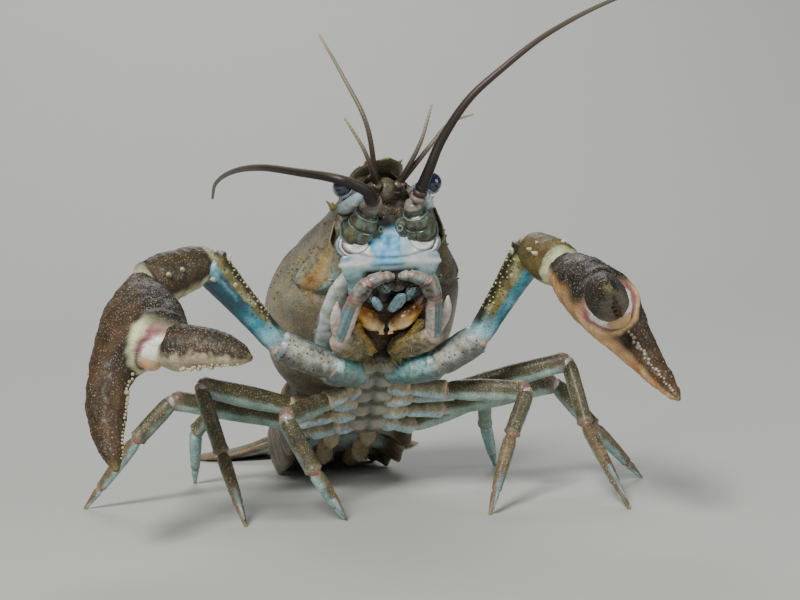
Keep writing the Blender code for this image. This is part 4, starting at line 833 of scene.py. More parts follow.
def make_merus(key):
    """The long flattened merus: teal and cyan, beaded along its top, spined at its far end, with painted
    shade on its top edge and underside.
    """
    joints = [Vector(spot) for spot in ARMS[key]]
    side = SIDES[key]
    dorsal = body_way(0, 0, 1)
    inner = body_way(0.6, -side, 0).normalized()
    sweep = article(joints[2], joints[3], ARM_MERUS, dorsal, 2.4)
    front = Vector((0, -1, 0))
    crown = Vector((-side * 0.7, -0.1, 0.7)).normalized()

    def paint(share, angle, point, outward):
        rise = outward.dot(crown) + 0.15 * noise(point / 1.2)
        belly = MERUS_PALE.lerp(BLUE_WHITE, ease(0.2, 0.0, share))
        belly = belly.lerp(MERUS_CYAN, ease(0.1, 0.3, share) * (0.55 + 0.45 * blotch(point, 1.5, -0.3, 0.3)))
        if key == "r":
            belly = belly.lerp(MERUS_DEEP, 0.95 * ease(0.34, 0.55, share) * ease(0.97, 0.82, share))
            edge = 0.5 * bell(-0.1, 0.12, rise) * ease(0.5, 0.7, share)
            belly = belly.lerp(MERUS_PALE, ease(0.86, 0.96, share) + edge)
        band = OLIVE_GOLD.lerp(SIGNAL_MINT, 0.35 * blotch(point, 1.3))
        start_band = 0.1 if key == "r" else -0.15
        colour = belly.lerp(band, ease(start_band, start_band + 0.25, rise) * ease(0.12, 0.35, share))
        # Painted shade along the top edge, and on the underside in the line below
        colour = colour.lerp(SHELL_DARK, 0.9 * ease(0.5, 0.8, rise) * ease(0.05, 0.2, share))
        colour = colour.lerp(MERUS_DEEP * 0.5, 0.7 * ease(-0.55, -0.9, rise))
        colour = colour.lerp(CREAM, 0.85 * ease(0.08, 0.0, share))
        return colour, -ease(0.02, 0.2, share) * (0.6 + 0.4 * ease(-0.1, 0.3, rise)), 0

    bm = sweep.skin(90, 56, paint, rim_relief)
    pale = (SIGNAL_MINT.lerp(CREAM, 0.5), 0, 0)
    for lean_front, count in ((0.25, 14), (0.75, 12), (1.3, 7)):
        facing_turn = facing(sweep, 0.5, (crown + front * lean_front).normalized())
        for number in range(count):
            share = 0.3 + 0.62 * (number + uniform(-0.3, 0.3)) / count
            point, outward = sweep.surface(share, facing_turn + uniform(-0.12, 0.12))
            size = uniform(0.12, 0.22)
            dull = (SIGNAL_MINT.lerp(OLIVE_GOLD, uniform(0.2, 0.7)), 0, 0)
            bead(bm, point + outward * size * 0.3, (size, size, size * 1.2), outward, dull, 8)
    spines = ((0.86, dorsal, 1.0, 1.2), (0.88, inner, 1.1, 1.1), (0.86, -dorsal, 1.0, 0.9),
              (0.7, (inner - dorsal).normalized(), 0.7, 0.6))
    set_spines(bm, sweep, (joints[3] - joints[2]).normalized(), spines, 0.75, 0.05, pale)
    finish(f"claw_arm_merus_{key}", bm, ARM_SHELL, [f"cheliped_merus_{key}"])
    way = (joints[4] - joints[2]).normalized()
    joint_ball(f"claw_arm_joint_3_{key}", joints[3], (2.2, 2.4, 1.7), way, JOINT_PINK.lerp(CREAM, 0.5))


def make_carpus(key):
    """The knuckly carpus: brown and granular above, pale mint at its lips."""
    joints = [Vector(spot) for spot in ARMS[key]]
    side = SIDES[key]
    dorsal = body_way(0, 0, 1)
    inner = body_way(0.6, -side, 0).normalized()
    sweep = article(joints[3], joints[4], ARM_CARPUS, dorsal, 2.3, (0.7, 0.5))
    above = CLAW_BROWN.lerp(SHELL_OLIVE, 0.3) if key == "r" else OLIVE_GOLD.lerp(CLAW_RUST, 0.35)

    def paint(share, angle, point, outward):
        top = outward.dot(UP) + 0.2 * noise(point / 1.4)
        colour = above.lerp(CLAW_RUST, 0.7 * blotch(point, 2.2))
        under = SIGNAL_MINT.lerp(JOINT_PINK, 0.4 + 0.4 * noise(point / 2))
        colour = under.lerp(colour, ease(-0.85, -0.5, top))
        colour = colour.lerp(SIGNAL_MINT, 0.75 * ease(0.93, 0.99, share) + 0.5 * ease(0.06, 0.0, share))
        return colour, 0.85 * ease(-0.6, 0.0, top) * (1 if key == "r" else 0.5), 0

    def relief(share, angle, point, outward):
        return rim_relief(share, angle, point, outward) + 0.22 * noise(point / 1.1)

    bm = sweep.skin(70, 60, paint, relief)
    pale = (SIGNAL_MINT.lerp(CREAM, 0.6), 0, 0)
    spines = ((0.5, inner, 0.9, 0.5), (0.72, inner, 1.3, 0.6), (0.72, dorsal, 0.6, 0.4),
              (0.55, (dorsal + inner).normalized(), 0.4, 0.3))
    set_spines(bm, sweep, (joints[4] - joints[3]).normalized(), spines, 0.7, 0.06, pale)
    finish(f"claw_arm_carpus_{key}", bm, CLAW_SHELL, [f"cheliped_carpus_{key}"])
    way = (joints[5] - joints[3]).normalized()
    joint_ball(f"claw_arm_joint_4_{key}", joints[4], (2.2, 2.4, 1.6), way, SIGNAL_MINT.lerp(JOINT_PINK, 0.4))


def claw_frame(key):
    """Wrist, knuckle and tips of a claw, with the ways along, inwards and broadside of its plane."""
    wrist, knuckle, tip, free_tip = [Vector(spot) for spot in ARMS[key][4:]]
    along = (tip - knuckle).normalized()
    inward = free_tip - knuckle
    inward = (inward - along * inward.dot(along)).normalized()
    return wrist, knuckle, tip, free_tip, along, inward


# The way that a claw's pale orange underside faces
CLAW_UNDER = {"r": Vector((0.35, 0.55, -0.75)).normalized(), "l": Vector((-0.75, 0.1, -0.65)).normalized()}


def hinge_place(key):
    """The middle of the free finger's hinge."""
    _, knuckle, _, _, along, inward = claw_frame(key)
    return knuckle + along * HINGE_ALONG + inward * HINGE_INWARD


def paint_claw(key):
    """Claw colours: rusty brown with pale granules, black inside the palm, orange below, the signal patch."""
    along, inward = claw_frame(key)[4:]
    hinge = hinge_place(key)
    under = CLAW_UNDER[key]

    def paint(share, angle, point, outward):
        colour = CLAW_BROWN.lerp(CLAW_RUST, 0.35 + 0.65 * blotch(point, 3.0, -0.3, 0.3))
        facing_in = outward.dot(inward) + 0.1 * noise(point / 1.5)
        on_palm = ease(0.62, 0.5, share)
        colour = colour.lerp(CLAW_BLACK, 0.95 * ease(-0.1, 0.4, facing_in) * on_palm)
        lower = ease(0.35, 0.75, outward.dot(under) + 0.12 * noise(point / 2.5))
        belly = CLAW_ORANGE.lerp(CLAW_CREAM, 0.4 + 0.5 * noise(point / 2))
        colour = colour.lerp(belly, lower)
        grain = 0.9 * (1 - lower) * (0.7 + 0.3 * on_palm)
        reach = (point - hinge).length + 0.35 * noise(point / 1.2)
        patch = ease(-0.35, 0.1, outward.dot(inward) + 0.6 * outward.dot(Vector((0, -1, 0))))
        onward = (point - hinge).dot(along) / max(reach, 0.1)
        patch *= ease(-0.85, -0.35, onward) if key == "r" else ease(-0.5, 0.0, onward)
        rim = SIGNAL_MINT
        if key == "l":
            rim = CLAW_CREAM.lerp(CLAW_ORANGE, 0.35 + 0.3 * noise(point / 0.8))
        colour = colour.lerp(rim, patch * ease(5.9, 5.3, reach))
        colour = colour.lerp(MAUVE, patch * bell(4.3, 0.35, reach))
        colour = colour.lerp(SIGNAL_WHITE, patch * ease(4.1, 3.7, reach))
        grain *= 1 - patch * ease(6.2, 5.6, reach)
        tipping = ease(0.95, 1.0, share)
        colour = colour.lerp(TIP_YELLOW.lerp(CLAW_BROWN, 0.5), 0.6 * tipping)
        return colour, grain, 0

    return paint


def make_claw(key):
    """The hand with its fixed finger: swollen palm, toothed inner edge, signal patch at the hinge."""
    wrist, knuckle, tip, _, _, inward = claw_frame(key)
    hinge = hinge_place(key)
    palm_long, finger_long = (knuckle - wrist).length, (tip - knuckle).length
    whole = palm_long * (1 + HAND_SUNK) + finger_long
    finger_start = palm_long * (1 + HAND_SUNK) / whole
    stations = []
    for share, offset, wide, thick in HAND:
        stations.append(((share + HAND_SUNK) * palm_long / whole,
                         wrist.lerp(knuckle, share) + inward * offset, wide, thick))
    # Towards its tip the right fixed finger is blunter and the left one slimmer
    blunt = 1.12 if key == "r" else 0.8
    for share, offset, wide, thick in FIXED_FINGER:
        girth = 1 + (blunt - 1) * ease(0.1, 0.7, share)
        wide, thick = wide * girth, thick * girth
        place = (palm_long * (1 + HAND_SUNK) + share * finger_long) / whole
        stations.append((place, knuckle.lerp(tip, share) + inward * offset, wide, thick))
    guide = [(0, wrist), (finger_start * 0.5, wrist.lerp(knuckle, 0.5)), (finger_start, knuckle),
             ((1 + finger_start) / 2, knuckle.lerp(tip, 0.5)), (1, tip)]
    sweep = Sweep(stations, inward, 2.25, 0.5, 0.6, guide)

    def relief(share, angle, point, outward):
        reach = (point - hinge).length
        patch = ease(-0.2, 0.2, outward.dot(inward) + 0.5 * outward.dot(Vector((0, -1, 0))))
        bumps = 0.13 * noise(point / 0.45) + 0.25 * noise(point / 2.0)
        lip = patch * (0.35 * bell(5.1, 0.5, reach) - 0.5 * bell(4.1, 0.5, reach))
        return lip + bumps * (1 - 0.8 * patch * ease(5.6, 4.8, reach)) * ease(0.0, 0.08, share)

    bm = sweep.skin(170, 110, paint_claw(key), relief)
    for number in range(24):
        share = finger_start + (1 - finger_start) * (0.24 + 0.7 * number / 24)
        size = (0.5 if number == 5 else uniform(0.26, 0.4)) * (1 - 0.4 * number / 24)
        point, outward = sweep.surface(share, uniform(-0.1, 0.1))
        bead(bm, point + outward * size * 0.35, (size, size, size), outward,
             (TOOTH_BONE.lerp(CREAM, chance()), 0, 0))
    for number in range(90):
        share = uniform(0.08, 0.97)
        if share < finger_start:
            turn = choice((-1, 1)) * uniform(1.1, 2.0)
        else:
            turn = uniform(0.5, 5.7)
        point, outward = sweep.surface(share, turn)
        if (point - hinge).length < 5.8 or outward.dot(CLAW_UNDER[key]) > 0.3:
            continue
        size = uniform(0.1, 0.17)
        bead(bm, point + outward * size * 0.1, (size, size, size), outward,
             (TOOTH_BONE.lerp(SHELL_GREY, 0.4), 0, 0), 6)
    finish(f"claw_{key}", bm, CLAW_SHELL, [f"cheliped_claw_{key}"])


def make_free_finger(key):
    """The free finger: brown and granular, its lower edge pale and toothed."""
    free_tip, along, inward = claw_frame(key)[3:]
    hinge = hinge_place(key)
    way = free_tip - hinge
    bow = (along.cross(inward)).cross(way).normalized()
    if bow.dot(along) > 0:
        bow.negate()
    stations = [(s, hinge + way * s + bow * offset, wide, thick) for s, offset, wide, thick in FREE_FINGER]
    sweep = Sweep(stations, bow, 2.2, 0.5, 0.6)

    def paint(share, angle, point, outward):
        colour = CLAW_BROWN.lerp(CLAW_RUST, blotch(point, 2.2, -0.2, 0.4) * 0.6)
        colour = colour.lerp(CLAW_BLACK, 0.7 if key == "l" else 0.25)
        edge = ease(0.45, 0.85, -outward.dot(bow) + 0.25 * noise(point / 0.8))
        edge *= 0.8 if key == "r" else 0.15
        colour = colour.lerp(CREAM, edge)
        colour = colour.lerp(SIGNAL_MINT, 0.9 * ease(0.1, 0.04, share) * (key == "r"))
        colour = colour.lerp(TIP_YELLOW.lerp(CLAW_BROWN, 0.6), 0.6 * ease(0.96, 1.0, share))
        return colour, 0.9 * (1 - edge) * ease(0.08, 0.16, share), 0

    def relief(share, angle, point, outward):
        return (0.13 * noise(point / 0.45) + 0.12 * noise(point / 1.6)) * ease(0.06, 0.14, share)

    bm = sweep.skin(110, 72, paint, relief)
    for number in range(22):
        share = 0.26 + 0.68 * number / 22
        size = (0.55 if number in (6, 11) else uniform(0.26, 0.42)) * (1 - 0.4 * number / 22)
        point, outward = sweep.surface(share, pi + uniform(-0.15, 0.15))
        bead(bm, point + outward * size * 0.3, (size, size, size), outward,
             (CREAM if key == "r" else CLAW_RUST, 0, 0))
    finish(f"claw_finger_{key}", bm, CLAW_SHELL, [f"cheliped_finger_{key}"])
    bm = new_form()
    sunk = 0.9 if key == "r" else 1.7
    bead(bm, hinge - inward * sunk - along * 0.1, (3.5, 3.1, 2.7), inward, (SIGNAL_WHITE, 0, 0), 40)
    bead(bm, hinge - inward * (sunk + 0.4) + along * 1.6, (2.3, 2.2, 1.9), inward,
         (CLAW_ORANGE.lerp(CLAW_CREAM, 0.6), 0, 0), 40)
    finish(f"claw_hinge_skin_{key}", bm, SOFT_SKIN, [])


def paint_leg(belly, top, tip, grain):
    """Leg colours: olive with golden specks above, pale and bluish below."""
    def paint(share, angle, point, outward):
        rise = outward.z - 0.3 * outward.y + 0.25 * noise(point / 1.3)
        colour = belly.lerp(top, ease(-0.25, 0.2, rise))
        colour = colour.lerp(OLIVE_GOLD, 0.4 * blotch(point, 1.0) * ease(-0.2, 0.2, rise))
        colour = colour.lerp(SHELL_DARK, 0.45 * ease(0.5, 1.0, rise) * blotch(point, 2.5, -0.3, 0.2))
        colour = colour.lerp(tip, ease(0.88, 1.0, share))
        colour = colour.lerp(CREAM, 0.5 * ease(0.07, 0.0, share))
        return colour, grain * ease(-0.3, 0.3, rise), 0

    return paint


def make_leg(name):
    """One walking leg, article by article, with its soft joints."""
    joints = [Vector(spot) for spot in LEGS[name]]
    upper, lower = f"leg_{name}_upper", f"leg_{name}_lower"
    root, hip, knee, ankle, toe = joints
    across = UP.cross(knee - root)
    across_low = UP.cross(toe - knee)
    base = root.lerp(hip, 0.34)
    foot = ankle.lerp(toe, 0.7)
    parts = [("coxa", root, base, LEG_COXA, across, upper, paint_leg(BLUE_WHITE, CREAM, CREAM, 0.1)),
             ("ischium", base, hip, LEG_ISCHIUM, across, upper,
              paint_leg(BLUE_WHITE, CREAM.lerp(LEG_OLIVE, 0.4), CREAM, 0.3)),
             ("merus", hip, knee, LEG_MERUS, across, upper,
              paint_leg(LEG_PALE, LEG_OLIVE, LEG_OLIVE.lerp(JOINT_PINK, 0.3), 1.0)),
             ("carpus", knee, ankle, LEG_CARPUS, across_low, lower,
              paint_leg(LEG_PALE.lerp(LEG_OLIVE, 0.4), LEG_OLIVE, LEG_OLIVE.lerp(CREAM, 0.3), 1.0)),
             ("propodus", ankle, foot, LEG_PROPODUS, across_low, lower,
              paint_leg(LEG_PALE.lerp(MERUS_PALE, 0.25), LEG_TAN.lerp(LEG_OLIVE, 0.35), LEG_TAN, 1.0)),
             ("dactyl", foot, toe, LEG_DACTYL, across_low, lower,
              paint_leg(LEG_PALE.lerp(MERUS_PALE, 0.3), LEG_TAN, TIP_YELLOW, 0.4))]
    for part, start, end, girths, way, carrier, paint in parts:
        sweep = article(start, end, girths, way, 2.1, (0.6, 0.5))
        bm = sweep.skin(46, 32, paint, leg_relief)
        if part == "dactyl":
            if name[0] in "23":
                away = Vector((0, -1, 0))
                shin = toe - ankle
                away = (away - shin * (away.dot(shin) / shin.length_squared)).normalized()
                thorn(bm, ankle.lerp(toe, 0.52) + away * 0.5, ankle.lerp(toe, 0.95) + away * 1.2, 0.6,
                      (LEG_TAN.lerp(MERUS_PALE, 0.4), 0.3, 0), 0.12, 14)
            cut_at_floor(bm)
        finish(f"leg_{name}_{part}", bm, LEG_SHELL, [carrier])
    bm = new_form()
    # The soft skin bulges on the inner side of each bend, and a little to the front
    for before, spot, after, size, colour in (
            (root, hip, knee, 1.15, JOINT_PINK), (hip, knee, ankle, 1.2, JOINT_PINK.lerp(BLUE_WHITE, 0.5)),
            (knee, ankle, toe, 0.95, JOINT_ROSE), (ankle, foot, toe, 0.55, JOINT_PINK)):
        bend = ((before - spot).normalized() + (after - spot).normalized()) * 0.5 + Vector((0, -0.25, 0))
        bead(bm, spot + bend * 0.55, (size, size, size * 0.9), after - before, (colour, 0, 0), 20)
    finish(f"leg_{name}_joints", bm, SOFT_SKIN, [])


def face_place(point):
    """Where a point of the stance lies on the face: sideways, up the face and out from it."""
    local = BODY_BACK @ point
    forward, up = -local.y - FACE_FOOT, local.z - DECK
    return (local.x, forward * cos(FACE_SLOPE) + up * sin(FACE_SLOPE),
            forward * sin(FACE_SLOPE) - up * cos(FACE_SLOPE))


def face_way(side, climb, out):
    """A direction given on the face: sideways, up it and out from it."""
    return face_point(side, climb, out) - face_point(0, 0, 0)


def face_egg(bm, middle, size, around, up):
    """Adds an egg lying on the face, its size given sideways, up the face and out; its points."""
    turn = Matrix((RIGHTWARDS, face_way(0, 1, 0), face_way(0, 0, 1))).transposed().to_4x4()
    matrix = Matrix.Translation(middle) @ turn @ Matrix.Diagonal((*size, 1))
    return bmesh.ops.create_uvsphere(bm, u_segments=around, v_segments=up, radius=1, matrix=matrix)["verts"]


def setae(name, hairs, colour):
    """Stiff hairs, each a thin cone from its root to its tip, given as (root, tip, radius)."""
    bm = new_form()
    chart = bm.loops.layers.uv.new("OFBake")
    for number, (root, tip, radius) in enumerate(hairs):
        old = set(bm.faces)
        thorn(bm, root, tip, radius, (colour * uniform(0.5, 1.6), 0, 0), radius * 0.12, 5)
        u, v = 0.02 + 0.96 * (number % 40) / 40, 0.02 + 0.96 * (number // 40) / (len(hairs) // 40 + 1)
        for face in bm.faces:
            if face not in old:
                for corner, loop in enumerate(face.loops):
                    loop[chart].uv = (u + 0.003 * (corner % 2), v + 0.003 * (corner // 2 % 2))
    finish(name, bm, SETAE, [])


def make_epistome():
    """The plate over the mouth, folded up on to the face: blue in the middle, pink-white at its sides."""
    on_deck = [(30.1, 5.4), (31.5, 6.4), (34, 6.9), (36.4, 7.9)]
    on_face = [(0.5, 8.3), (1.5, 7.4), (2.6, 4.2), (4.2, 2.5), (5.6, 1.9), (7.2, 1.4)]
    points = [body_point(x, 0, DECK - 1.4) for x, _ in on_deck] + [face_point(0, u, 1.4) for u, _ in on_face]
    sweep = strung(points, [(w, 1.1) for _, w in on_deck + on_face], RIGHTWARDS, 3.2, 0.2, 0.2)

    def paint(share, angle, point, outward):
        w, climb, _ = face_place(point)
        uneven = 0.35 * noise(point / 1.3)
        colour = BLUE_WHITE.lerp(LOBE_PINK, ease(2.8, 5, abs(w)) * (0.5 + 0.5 * blotch(point, 1.6)))
        colour = colour.lerp(SIGNAL_WHITE, 0.8 * bell(3.4 + uneven, 0.5, abs(w) - 0.25 * climb)
                             * ease(-1, 1, climb))
        colour = colour.lerp(GROOVE_BLUE, 0.5 * bell(4.6, 0.8, abs(w)) * ease(1.5, -0.5, climb))
        across = abs(w + 0.7 + uneven)
        panel = ease(1.1, 0.9, across / (2.2 + 0.14 * abs(climb - 1.0))) * ease(-1.2, -0.4, climb)
        blue = EPISTOME_BLUE.lerp(PANEL_SKY, 0.7 * blotch(point, 0.9, -0.3, 0.3))
        blue = blue.lerp(PANEL_GLINT, 0.7 * bell(4.6, 0.6, climb))
        colour = colour.lerp(blue, panel)
        colour = colour.lerp(PANEL_PIT, 0.85 * bell(0, 0.4, hypot(w + 0.4, (climb - 2.6) * 0.45)))
        colour = colour.lerp(PANEL_EDGE, 0.6 * bell(2.2, 0.18, across) * ease(0, 1, climb)
                             * ease(5.5, 4.5, climb))
        colour = colour.lerp(FEELER_BROWN.lerp(SHELL_OLIVE, 0.5), 0.95 * ease(5.0, 5.8, climb + uneven))
        teal = COXA_TEAL.lerp(BLUE_WHITE, 0.3 + 0.4 * blotch(point, 1.0))
        colour = colour.lerp(teal, 0.85 * ease(5.2, 7.2, abs(w) + uneven))
        colour = colour.lerp(LIP_GREY, 0.2 * ease(0.4, -0.6, climb))
        colour = colour.lerp(SHELL_DARK, 0.7 * bell(0.35, 0.2, climb - 0.03 * w * w))
        colour = colour.lerp(LIP_SLATE, 0.4 * ease(0.3, -1.2, climb) * blotch(point, 0.8, -0.3, 0.3))
        # A white painted highlight on the lower bar, towards its sides
        colour = colour.lerp(SIGNAL_WHITE, 0.55 * ease(2.0, 3.5, abs(w + 0.7)) * bell(-0.5, 0.5, climb))
        # Where the plate runs back into the mouth it is painted near black, as the mouth's shade, paler at
        # its sides
        cavity = ease(38.0, 37.0, -(BODY_BACK @ point).y)
        inside = MOUTH_SHADOW.lerp(FEELER_BROWN, 0.5 * blotch(point, 1))
        pale = BLUE_WHITE.lerp(GROOVE_BLUE, 0.4 + 0.4 * blotch(point, 1.2))
        inside = inside.lerp(pale, ease(3.8, 5.4, abs(w) + uneven))
        colour = colour.lerp(inside, cavity)
        return colour, 0.5, 0

    def relief(share, angle, point, outward):
        w, climb, _ = face_place(point)
        dimple = -0.6 * bell(0, 0.5, hypot(w - 0.1, (climb - 2.6) * 0.5))
        ridge = 0.4 * bell(3.1, 0.7, abs(w)) * ease(0, 2, climb) + 0.35 * bell(-0.4, 0.4, climb)
        line = -0.35 * bell(0.35, 0.2, climb - 0.03 * w * w)
        crease = line - 0.25 * bell(1.9, 0.2, abs(w)) * ease(0, 1, climb)
        return dimple + ridge + crease + 0.14 * noise(point / 0.8)

    bm = sweep.skin(110, 130, paint, relief)
    finish("epistome_plate", bm, FACE_SHELL, ["epistome"])


def make_face_lobes():
    """The paired smiling lobes under the feelers, each edged by a thin dark line, with a painted highlight
    low on each.
    """
    bm = new_form()
    for side in SIDES.values():
        middle = face_point(side * LOBE_PLACE[0] - 0.2, LOBE_PLACE[1], 1.5)
        for vert in face_egg(bm, middle, LOBE_HALVES, 80, 60):
            w, climb, _ = face_place(vert.co)
            w = w - side * LOBE_PLACE[0] + 0.2
            climb = (climb - LOBE_PLACE[1]) / LOBE_HALVES[1]
            reach = hypot(w / LOBE_HALVES[0], climb)
            uneven = 0.04 * noise(vert.co / 1.2)
            colour = LOBE_MAUVE.lerp(BLUE_WHITE, 0.8 * blotch(vert.co, 1.2, -0.3, 0.3))
            # A painted highlight on the lower part of each lobe
            painted_highlight = 0.95 * bell(0.42, 0.14, reach + uneven) * ease(0.9, -0.9, climb)
            colour = colour.lerp(SIGNAL_WHITE, painted_highlight)
            colour = colour.lerp(JOINT_PINK, 0.35 * ease(0.35, 0.0, reach))
            colour = colour.lerp(SHELL_DARK, 0.95 * bell(0.66, 0.06, reach + uneven))
            colour = colour.lerp(SIGNAL_WHITE, 0.5 * bell(0.76, 0.04, reach + uneven))
            colour = colour.lerp(SHELL_DARK, 0.8 * bell(0.87, 0.03, reach + uneven))
            colour = colour.lerp(RIM_TEAL, 0.9 * ease(0.9, 1.0, reach))
            dye(bm, [vert], (colour, 0.1, 0))
            vert.co -= face_way(0, 0, 1) * (0.4 * bell(0.66, 0.07, reach) - 0.15 * noise(vert.co / 0.9))
    finish("face_lobes", bm, FACE_SHELL, [])


def make_face_pad():
    """The dark velvety skin between the feelers and under the snout."""
    bm = new_form()
    for middle, size, colour in ((face_point(0, 9.2, 0.2), (4.6, 4.6, 1.3), FEELER_BROWN),
                                 (face_point(0, 11.6, 1.4), (1.9, 2.2, 2.4), SHELL_GREY * 0.5),
                                 (face_point(-5.2, 6.0, 0.1), (3.4, 4.6, 0.8), SHELL_OLIVE),
                                 (face_point(5.2, 6.0, 0.1), (3.4, 4.6, 0.8), SHELL_OLIVE)):
        for vert in face_egg(bm, middle, size, 48, 32):
            rough = 0.18 * noise(vert.co / 1.2) + 0.06 * noise(vert.co / 0.4)
            vert.co += face_way(0, 0, 1) * rough
            dye(bm, [vert], ((colour * 0.8).lerp(SHELL_GREY, 0.4 * blotch(vert.co, 0.7)), 0.7, 0))
    finish("face_skin", bm, BACK_SHELL, [])


def make_antenna_base(key):
    """The short thick segments that an antenna stands on, olive with pale edges."""
    side = SIDES[key]
    root = [(5.2, 4.9, -0.6, 2.6, 2.6), (5.2, 4.9, 0.9, 3.0, 2.8), (5.1, 5.1, 2.2, 2.8, 2.6),
            (4.7, 5.8, 3.0, 2.1, 2.1), (4.5, 6.2, 3.5, 2.3, 2.2), (4.1, 7.2, 4.3, 1.9, 1.8),
            (3.9, 7.6, 4.7, 1.5, 1.45), (3.7, 8.2, 5.1, 1.65, 1.6), (3.5, 8.8, 5.6, 1.3, 1.3)]
    points = [face_point(side * w, climb, out) for w, climb, out, _, _ in root]
    sweep = strung(points, [entry[3:] for entry in root], RIGHTWARDS, 2.2, 0.2, 0.3)

    def paint(share, angle, point, outward):
        olive = SHELL_OLIVE.lerp(OLIVE_GOLD, 0.6 * blotch(point, 1.5))
        olive = olive.lerp(SHELL_DARK, 0.6 * blotch(point, 0.7))
        colour = olive.lerp(BASE_GREEN, 0.55 * blotch(point + Vector((3, 5, 1)), 0.9, -0.1, 0.4))
        for edge in BASE_JOINTS:
            colour = colour.lerp(GROOVE_BLUE, 0.6 * bell(edge - 0.025, 0.01, share))
            colour = colour.lerp(SHELL_DARK, 0.95 * bell(edge, 0.012, share))
        # The seams between the plates of each segment run lengthways
        for seam in BASE_SEAMS:
            colour = colour.lerp(SHELL_DARK, 0.85 * bell(seam, 0.05, angle % (2 * pi))
                                 * ease(0.7, 0.5, share))
        colour = colour.lerp(SHELL_GREY.lerp(BASE_GREY, 0.6), 0.85 * ease(0.84, 0.93, share))
        colour = colour.lerp(SHELL_DARK, 0.8 * bell(0.9, 0.012, share))
        return colour, 0.5, 0

    def relief(share, angle, point, outward):
        steps = sum(0.22 * bell(edge - 0.03, 0.03, share) - 0.2 * bell(edge + 0.01, 0.015, share)
                    for edge in BASE_JOINTS)
        seams = sum(-0.18 * bell(seam, 0.07, angle % (2 * pi)) for seam in BASE_SEAMS)
        return steps + seams * ease(0.7, 0.5, share) + 0.16 * noise(point / 1.1)

    bm = sweep.skin(90, 56, paint, relief)
    # The inner segment beside it, with the round pore of the kidney gland on a low cone
    pore = face_point(side * 1.6, 5.0, 3.0)
    middle = face_point(side * CONE_PLACE[0], CONE_PLACE[1], 1.8)
    for vert in face_egg(bm, middle, CONE_HALVES, 40, 30):
        reach = (vert.co - pore).length
        w, climb, _ = face_place(vert.co)
        edge = hypot((w - side * CONE_PLACE[0]) / CONE_HALVES[0], (climb - CONE_PLACE[1]) / CONE_HALVES[1])
        colour = SHELL_OLIVE.lerp(BASE_SLATE, 0.5 * blotch(vert.co, 1.0))
        colour = colour.lerp(GROOVE_BLUE, 0.35 * bell(0.82, 0.05, edge))
        colour = colour.lerp(SHELL_DARK, 0.8 * ease(0.88, 1.0, edge))
        colour = colour.lerp(GROOVE_BLUE, 0.7 * bell(0.45, 0.1, reach))
        colour = colour.lerp(SHELL_DARK, ease(0.3, 0.12, reach))
        vert.co += face_way(0, 0, 1) * (0.3 * bell(0.45, 0.2, reach) - 0.2 * bell(0, 0.25, reach))
        dye(bm, [vert], (colour, 0.2, 0))
    finish(f"antenna_base_{key}", bm, FACE_SHELL, [f"antenna_base_{key}"])


def make_antenna_scale(key):
    """The blade beside an antenna's root, white-blue, with painted shade on its side turned back from the
    front.
    """
    side = SIDES[key]
    shape = [(7.0, 8.7, -0.4, 0.9, 0.7), (7.0, 8.8, 0.9, 1.15, 0.9), (6.4, 9.2, 2.4, 1.3, 1.0),
             (5.2, 10.0, 5.0, 1.15, 0.85), (4.5, 10.7, 6.7, 0.5, 0.4), (4.2, 11.0, 7.3, 0.15, 0.15)]
    points = [face_point(side * w, climb, out) for w, climb, out, _, _ in shape]
    sweep = strung(points, [entry[3:] for entry in shape], RIGHTWARDS, 2.3)

    def paint(share, angle, point, outward):
        front = outward.dot(face_way(0, -0.5, 0.8).normalized())
        colour = STALK_BLUE.lerp(BLUE_WHITE, 0.5)
        colour = colour.lerp(SIGNAL_WHITE, ease(0.2, 0.9, front) * blotch(point, 1.2, -0.3, 0.3))
        colour = colour.lerp(SCALE_GREY, 0.6 * blotch(point + Vector((2, 0, 4)), 0.8))
        colour = colour.lerp(SHELL_OLIVE, 0.9 * ease(0.3, 0.12, share) + 0.7 * ease(0.84, 1.0, share))
        # The side turned back from the front is painted dark, as painted shade
        colour = colour.lerp(SHELL_DARK, 0.9 * ease(0.05, -0.4, front))
        return colour, 0.3, 0

    bm = sweep.skin(50, 36, paint)
    finish(f"antenna_scale_{key}", bm, FACE_SHELL, [f"antenna_scale_{key}"])


def make_antenna(key):
    """A long ringed antenna, thick and dark at its root, paler and hair-thin at its tip."""
    spots = [Vector(spot) for spot in FEELER_PATHS[key]]
    sweep, length = whip(spots, FEELER_GIRTH)

    def paint(share, angle, point, outward):
        colour = FEELER_DARK.lerp(FEELER_BROWN, ease(0.05, 0.5, share))
        colour = colour.lerp(SHELL_GREY, 0.5 * ease(0.4, 1.0, share))
        # The side facing up is painted paler, as painted light from above
        return colour.lerp(SHELL_GREY, 0.3 * ease(0.2, 0.9, outward.z)), 0, share * length

    bm = sweep.skin(300, 16, paint)
    start = spots[0]
    way = (spots[1] - spots[0]).normalized()
    for back, size, colour in ((0.2, 1.4, RING_GREY), (-0.9, 1.25, FEELER_BROWN),
                               (-1.9, 1.12, FEELER_DARK)):
        bead(bm, start - way * back, (size, size, 0.75), way, (colour, 0, 0), 28)
    finish(f"antenna_{key}", bm, FEELER_SHELL, [f"antenna_{key}_1", f"antenna_{key}_2"])


